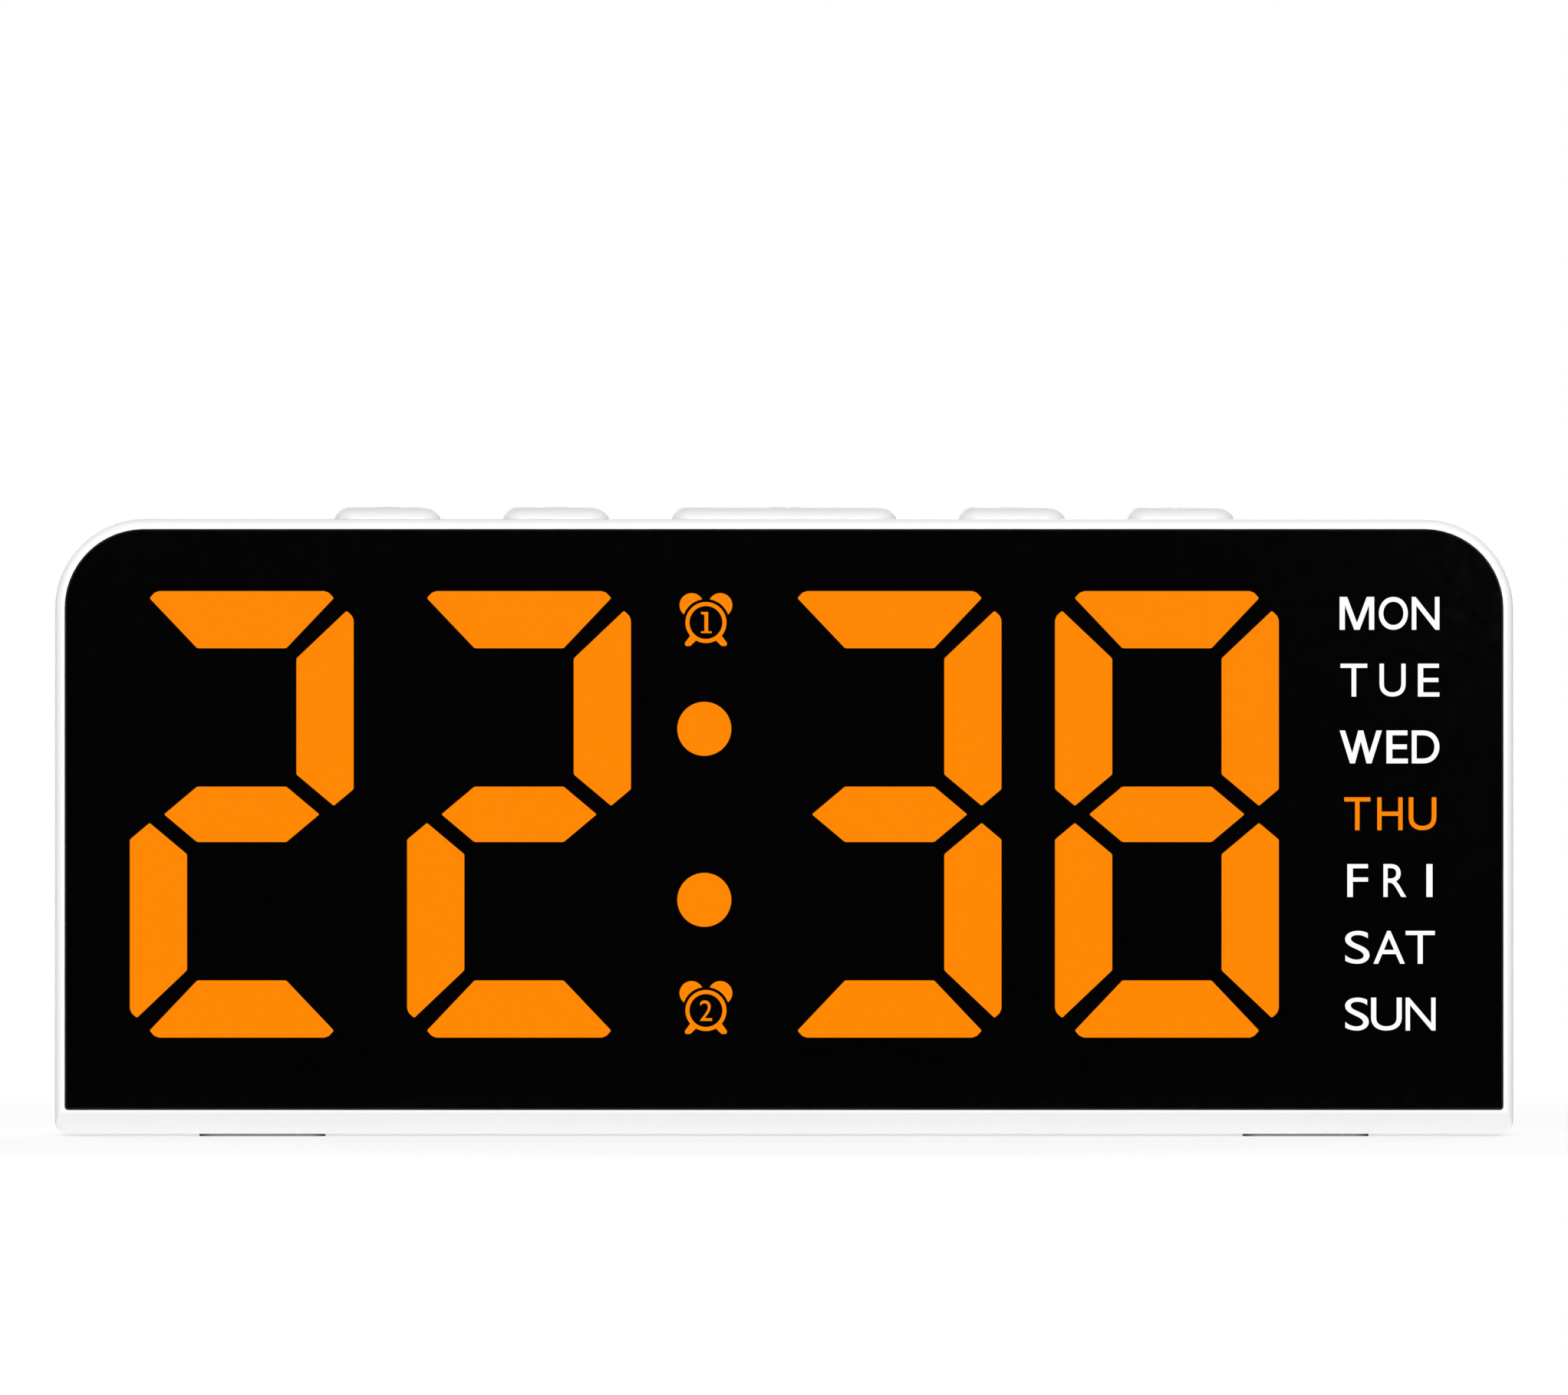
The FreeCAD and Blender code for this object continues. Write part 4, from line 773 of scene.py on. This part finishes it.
def segment_outlines():
    """Outlines of segments a to g about the middle of a digit, anticlockwise."""
    half_w, half_h = digit_width / 2, digit_height / 2
    cut = mitre + tip_end[1]
    curve = [(cut + along, inward) for along, inward in ((tip_run, 0), tip_bend, tip_end)]
    top = [(half_w - u, half_h - v) for u, v in reversed(curve)]
    top += [(u - half_w, half_h - v) for u, v in curve]
    top += [(mitre + segment_stroke - half_w, half_h - segment_stroke)]
    top += [(half_w - mitre - segment_stroke, half_h - segment_stroke)]
    left = [(v - half_w, half_h - u) for u, v in reversed(curve)]
    left += [(-half_w, waist_half + waist_slope * waist_in), (waist_in - half_w, waist_half)]
    left += [(segment_stroke - half_w, waist_half + waist_slope * (segment_stroke - waist_in))]
    left += [(segment_stroke - half_w, half_h - mitre - segment_stroke)]
    shoulder = middle_tip_in + middle_stroke / 2 / waist_slope
    bar = [(middle_tip_in - half_w, 0), (shoulder - half_w, -middle_stroke / 2)]
    bar += [(half_w - shoulder, -middle_stroke / 2), (half_w - middle_tip_in, 0)]
    bar += [(half_w - shoulder, middle_stroke / 2), (shoulder - half_w, middle_stroke / 2)]
    right = [(-x, z) for x, z in reversed(left)]
    outlines = {"a": top, "b": right, "f": left, "g": bar}
    outlines["c"] = [(x, -z) for x, z in reversed(right)]
    outlines["d"] = [(x, -z) for x, z in reversed(top)]
    outlines["e"] = [(x, -z) for x, z in reversed(left)]
    return outlines


def make_digits():
    """Lit segments of the four digits, modelled once about one digit's middle and copied."""
    segments = {}
    for name, outline in segment_outlines().items():
        segments[name] = printed_plate("segment_" + name, outline, segment_round)
    shown = {"hour_tens": "abged", "hour_units": "abged", "minute_tens": "abgcd",
             "minute_units": "abcdefg"}
    for (digit, lit), centre in zip(shown.items(), digit_centres):
        shift = (centre, 0, digit_centre_z)
        pieces = [copy_of(segments[name], digit + "_" + name, shift) for name in lit]
        finished(joined(digit + "_lit_segments", pieces), "orange_light", "casing")
    for piece in segments.values():
        bpy.data.objects.remove(piece)


def make_colon():
    """Two round dots, one a copy of the other."""
    lower_z = digit_centre_z - dot_spacing / 2
    lower = round_sheet("colon_dot", colon_x, lower_z, dot_diameter / 2)
    thicken(lower, print_lift)
    upper = copy_of(lower, "colon_dot_above", (0, 0, dot_spacing))
    finished(joined("colon_dots", [lower, upper]), "orange_light", "casing")


# ------------------------------------------------------------------ alarm icons
icon_spacing = 0.0431
icon_shift = 0.00018          # how far the icons stand to the right of the colon
icon_drop = 0.00024
ring_outer = 0.00228
ring_inner = 0.00183
bell_radius = 0.00134
bell_sides = 48
bell_from_centre = 0.0025
bell_angle = 50.5
bell_gap = 0.00033            # between a bell and the ring
clearance_lift = (0, -4 * print_sink, 0)    # cuts through a bell's whole thickness
icon_foot = [(0.00162, -0.00128), (0.00102, -0.00192), (0.00174, -0.00261),
             (0.00226, -0.00261), (0.00236, -0.0023)]
icon_foot_round = 0.0001
numeral_one_shift = 0.00004
numeral_half_height = 0.00118
numeral_stem = 0.00021        # half the stem's width
numeral_serif = 0.0006        # how far the serifs reach
serif_thickness = 0.0002
flag_thickness = 0.00034      # of the flag where it meets the stem
numeral_two_box = (-0.00068, 0.00068, -0.00116, 0.00112)


def make_ring(name, x, z):
    """Flat ring, inset from a disc."""
    ring = round_sheet(name, x, z, ring_outer)
    pick_all_of(ring, "FACE")
    bpy.ops.mesh.inset(thickness=ring_outer - ring_inner, depth=0)
    bpy.ops.mesh.delete(type="FACE")
    bpy.ops.object.mode_set(mode="OBJECT")
    thicken(ring, print_lift)
    return ring


def make_bell(name, x, z, angle):
    """Round bell, hollowed on the side towards the ring."""
    turn = math.radians(angle)
    bell_x, bell_z = x + bell_from_centre * math.cos(turn), z + bell_from_centre * math.sin(turn)
    bell = round_sheet(name, bell_x, bell_z, bell_radius, bell_sides)
    thicken(bell, print_lift)
    clearance = round_sheet("ring_clearance", x, z, ring_outer + bell_gap)
    clearance.location = (0, print_sink, 0)
    settle(clearance)
    thicken(clearance, clearance_lift)
    pick(bell)
    cut = bell.modifiers.new("hollow", "BOOLEAN")
    cut.operation = "DIFFERENCE"
    cut.object = clearance
    bpy.ops.object.modifier_apply(modifier=cut.name)
    bpy.data.objects.remove(clearance)
    return bell


def make_icon_clock(x, z):
    """Ring, bells and feet of a little alarm clock."""
    pieces = [make_ring("icon_ring", x, z)]
    for angle in (bell_angle, 180 - bell_angle):
        pieces.append(make_bell("icon_bell", x, z, angle))
    for foot in (icon_foot, [(-u, v) for u, v in reversed(icon_foot)]):
        outline = [(x + u, z + v) for u, v in foot]
        pieces.append(printed_plate("icon_foot", outline, icon_foot_round))
    return joined("icon_clock", pieces)


def make_numeral_one(x, z):
    """Serifed numeral 1: stem, flag and foot in one outline."""
    top, bottom = numeral_half_height, -numeral_half_height
    stem, serif, foot = numeral_stem, numeral_serif, bottom + serif_thickness
    outline = [(-serif, bottom), (serif, bottom), (serif, foot), (stem, foot), (stem, top),
               (-serif, top), (-serif, top - serif_thickness), (-stem, top - flag_thickness),
               (-stem, foot), (-serif, foot)]
    return cut_out("numeral_one", [(x + u, z + v) for u, v in outline])


def make_alarm_icons():
    """Two little alarm clocks, one a copy of the other, numbered 1 and 2."""
    x, upper_z = colon_x + icon_shift, digit_centre_z + icon_spacing / 2 - icon_drop
    lower_z = upper_z - icon_spacing
    upper = make_icon_clock(x, upper_z)
    lower = copy_of(upper, "icon_clock_below", (0, 0, -icon_spacing))
    left, right, bottom, top = numeral_two_box
    box = (x + left, x + right, lower_z + bottom, lower_z + top)
    numerals = [make_numeral_one(x + numeral_one_shift, upper_z),
                make_glyph("numeral_two", "2", box, 0)]
    for number, pieces in enumerate(zip((upper, lower), numerals), start=1):
        icon = joined("alarm_icon_" + str(number), pieces)
        finished(icon, "orange_light", "casing")


# ------------------------------------------------------------------ weekday words
weekday_x = 0.0673
weekday_z = 0.03587
word_pitch = 0.00742
middle_row = 3
letter_height = 0.00366
bold_swell = 0.007            # in the type's own units
span_unit = 0.00001
weekday_spans = {             # left and right edge of each letter from the column's middle
    "MON": ((-559, -175), (-124, 199), (242, 549)),
    "TUE": ((-550, -252), (-116, 174), (310, 549)),
    "WED": ((-559, -90), (-39, 199), (242, 549)),
    "THU": ((-508, -218), (-141, 140), (208, 515)),
    "FRI": ((-474, -244), (-73, 182), (404, 472)),
    "SAT": ((-499, -227), (-184, 165), (174, 498)),
    "SUN": ((-499, -235), (-210, 131), (174, 506)),
}
bold_words = ("MON", "WED")
lit_word = "THU"

letter_stroke = 0.00058
stroke_across = 0.0006        # a slanting stroke, measured level
m_shoulder = 0.00083          # flat top of the M's stem and stroke
m_foot = 0.0003               # half the flat foot of the M's middle
w_foot = (0.00115, 0.0017)    # ends of the W's first flat foot, in from its left
w_crest = 0.00028             # half the flat top of the W's middle


def letter_m(left, right, bottom, top):
    """Outline of an M whose middle reaches down to the line."""
    middle, high = (left + right) / 2, top - bottom
    lean = (middle - m_foot - left - m_shoulder + stroke_across) / high
    notch = top - (middle - left - m_shoulder) / lean
    branch = top - (letter_stroke + stroke_across - m_shoulder) / lean
    half = [(left, bottom), (left, top), (left + m_shoulder, top)]
    inner = [(left + letter_stroke, bottom), (left + letter_stroke, branch),
             (middle - m_foot, bottom)]
    outline = half + [(middle, notch)] + [(2 * middle - x, z) for x, z in reversed(half)]
    return outline + [(2 * middle - x, z) for x, z in inner] + list(reversed(inner))


def letter_w(left, right, bottom, top):
    """Outline of a W whose middle reaches up to the full height."""
    middle, high = (left + right) / 2, top - bottom
    foot_left, foot_right = left + w_foot[0], left + w_foot[1]
    outer_lean = (foot_left - left) / high
    inner_lean = (middle - w_crest + stroke_across - foot_right) / high
    drop = (middle - w_crest - left - stroke_across) / (outer_lean + inner_lean)
    peak = bottom + (middle - foot_right) / inner_lean
    half = [(middle - w_crest, top), (left + stroke_across + outer_lean * drop, top - drop),
            (left + stroke_across, top), (left, top), (foot_left, bottom), (foot_right, bottom)]
    return half + [(middle, peak)] + [(2 * middle - x, z) for x, z in reversed(half)]


def make_words():
    """The seven weekday words; one of them is lit, and the other six are white print with a
    painted glow.
    """
    drawn = {"M": letter_m, "W": letter_w}
    for row, (word, spans) in enumerate(weekday_spans.items()):
        z = weekday_z + (middle_row - row) * word_pitch
        swell = bold_swell if word in bold_words else 0
        letters = []
        for letter, (left, right) in zip(word, spans):
            box = (weekday_x + left * span_unit, weekday_x + right * span_unit)
            box += (z - letter_height / 2, z + letter_height / 2)
            if letter in drawn:
                letters.append(cut_out("letter_" + letter, drawn[letter](*box)))
            else:
                letters.append(make_glyph("letter_" + letter, letter, box, swell))
        # the unlit words' white print glows: painted light
        light = "orange_light" if word == lit_word else "white_light"
        finished(joined("weekday_" + word.lower(), letters), light, "casing")


# ------------------------------------------------------------------ buttons
button_widths = {"alarm": 0.012, "minus": 0.012, "snooze": 0.0252, "plus": 0.012, "set": 0.012}
button_depth = 0.0075
button_corner = 0.0024
button_corner_steps = 10
crown_run = 0.0017            # how far the crown's curve reaches in from the side
crown_steps = 12
flange_width = 0.0008
flange_thickness = 0.0008
stem_radius = 0.0016
stem_length = 0.0018
stem_sides = 32
stem_chamfer = 0.0002
stem_chamfer_steps = 2
cap_smooth_angle = 35

mark_rise = 0.00003           # how far a mark stands off its crown, and how far it is let in
mark_lift = (0, 0, 2 * mark_rise)
sign_reach = 0.00125          # half the length of the plus and minus signs
sign_half = 0.00024           # half the width of their strokes
bell_half = [(0, 0.00125), (-0.0005, 0.00108), (-0.0008, 0.0006), (-0.00088, -0.0003),
             (-0.0013, -0.00072)]
clapper_radius = 0.0003
clapper_y = -0.00115
circle_sides = 24
big_z = (-0.0015, 0.0001, -0.0009, 0.0009, 0.0003)    # left, right, bottom, top, stroke
small_z = (0.0006, 0.0016, -0.0009, 0.0002, 0.00024)
z_slant = 1.5                 # a Z's slanting stroke measured level, in strokes
dot_radius = 0.00034
dot_places = (-0.0012, 0, 0.0012)


def button_top(key):
    """Middle of a button's top."""
    low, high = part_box(key + "_button")
    return Vector(((low.x + high.x) / 2, (low.y + high.y) / 2, high.z))


def make_cap(key, width):
    """Button cap with a softly crowned top, its flange and its stem."""
    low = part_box(key + "_button")[0]
    x, y, top = button_top(key)
    flange_top = low.z + stem_length + flange_thickness
    crown_low = case_high.z
    pick_nothing()
    bpy.ops.mesh.primitive_cube_add(size=1, location=(x, y, (flange_top + crown_low) / 2))
    cap = bpy.context.object
    cap.scale = (width, button_depth, crown_low - flange_top)
    settle(cap)
    pick_edges(cap, lambda a, b: abs(a.z - b.z) > slack)
    bpy.ops.mesh.bevel(offset=button_corner, segments=button_corner_steps, affect="EDGES")
    pick_faces(cap, lambda face: face.normal.z > facing)
    angles = [math.radians(90 * step / crown_steps) for step in range(crown_steps + 1)]
    for start, end in zip(angles, angles[1:]):
        run = crown_run * (math.cos(start) - math.cos(end))
        rise = (top - mark_rise - crown_low) * (math.sin(end) - math.sin(start))
        bpy.ops.mesh.inset(thickness=run, depth=rise)
    pick_faces(cap, lambda face: face.normal.z < -facing)
    outward = ((width + 2 * flange_width) / width,
               (button_depth + 2 * flange_width) / button_depth, 1)
    bpy.ops.mesh.extrude_region_move()
    bpy.ops.transform.resize(value=outward, center_override=(x, y, flange_top))
    bpy.ops.mesh.extrude_region_move(TRANSFORM_OT_translate={"value": (0, 0, -flange_thickness)})
    bpy.ops.object.mode_set(mode="OBJECT")
    bpy.ops.mesh.primitive_cylinder_add(vertices=stem_sides, radius=stem_radius, depth=stem_length,
                                        location=(x, y, low.z + stem_length / 2))
    stem = bpy.context.object
    settle(stem)
    pick_edges(stem, lambda a, b: max(a.z, b.z) < low.z + slack)
    bpy.ops.mesh.bevel(offset=stem_chamfer, segments=stem_chamfer_steps, affect="EDGES")
    bpy.ops.object.mode_set(mode="OBJECT")
    cap = joined(key + "_cap", [cap, stem])
    smooth_shading(cap, cap_smooth_angle)
    return cap


def make_buttons():
    """Five caps; a cap as wide as an earlier one is a copy of it."""
    first, caps = {}, {}
    for key, width in button_widths.items():
        if width in first:
            shift = button_top(key) - button_top(first[width])
            caps[key] = copy_of(caps[first[width]], key + "_cap", shift)
        else:
            first[width] = key
            caps[key] = make_cap(key, width)
    for key, cap in caps.items():
        finished(cap, "white_button", key + "_key")
        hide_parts(key + "_button")


def circle_outline(x, y, radius):
    """Corners of a small circle."""
    turns = [2 * math.pi * step / circle_sides for step in range(circle_sides)]
    return [(x + radius * math.cos(turn), y + radius * math.sin(turn)) for turn in turns]


def letter_z(left, right, bottom, top, stroke):
    """Outline of a Z."""
    slant = z_slant * stroke
    return [(left, bottom), (right, bottom), (right, bottom + stroke),
            (left + slant, bottom + stroke), (right, top - stroke), (right, top), (left, top),
            (left, top - stroke), (right - slant, top - stroke), (left, bottom + stroke)]


def button_marks():
    """Outlines of the marks on the five buttons, about each button's middle."""
    long, thin = sign_reach, sign_half
    minus = [(-long, -thin), (long, -thin), (long, thin), (-long, thin)]
    plus = [(-long, -thin), (-thin, -thin), (-thin, -long), (thin, -long), (thin, -thin),
            (long, -thin)]
    plus += [(-x, -y) for x, y in plus]
    bell = bell_half + [(-x, y) for x, y in reversed(bell_half[1:])]
    return {"alarm": [bell, circle_outline(0, clapper_y, clapper_radius)],
            "minus": [minus],
            "snooze": [letter_z(*big_z), letter_z(*small_z)],
            "plus": [plus],
            "set": [circle_outline(x, 0, dot_radius) for x in dot_places]}


def make_mark(key, outlines):
    """Printed mark on top of a button."""
    sheets = []
    for outline in outlines:
        sheet = flat_sheet(key + "_mark", outline)
        sheet.location = button_top(key) - Vector(mark_lift)
        settle(sheet)
        thicken(sheet, mark_lift)
        sheets.append(sheet)
    finished(joined(key + "_mark", sheets), "button_print", key + "_key")


make_lens()
make_digits()
make_colon()
make_alarm_icons()
make_words()
make_buttons()
for key, outlines in button_marks().items():
    make_mark(key, outlines)
pick_nothing()
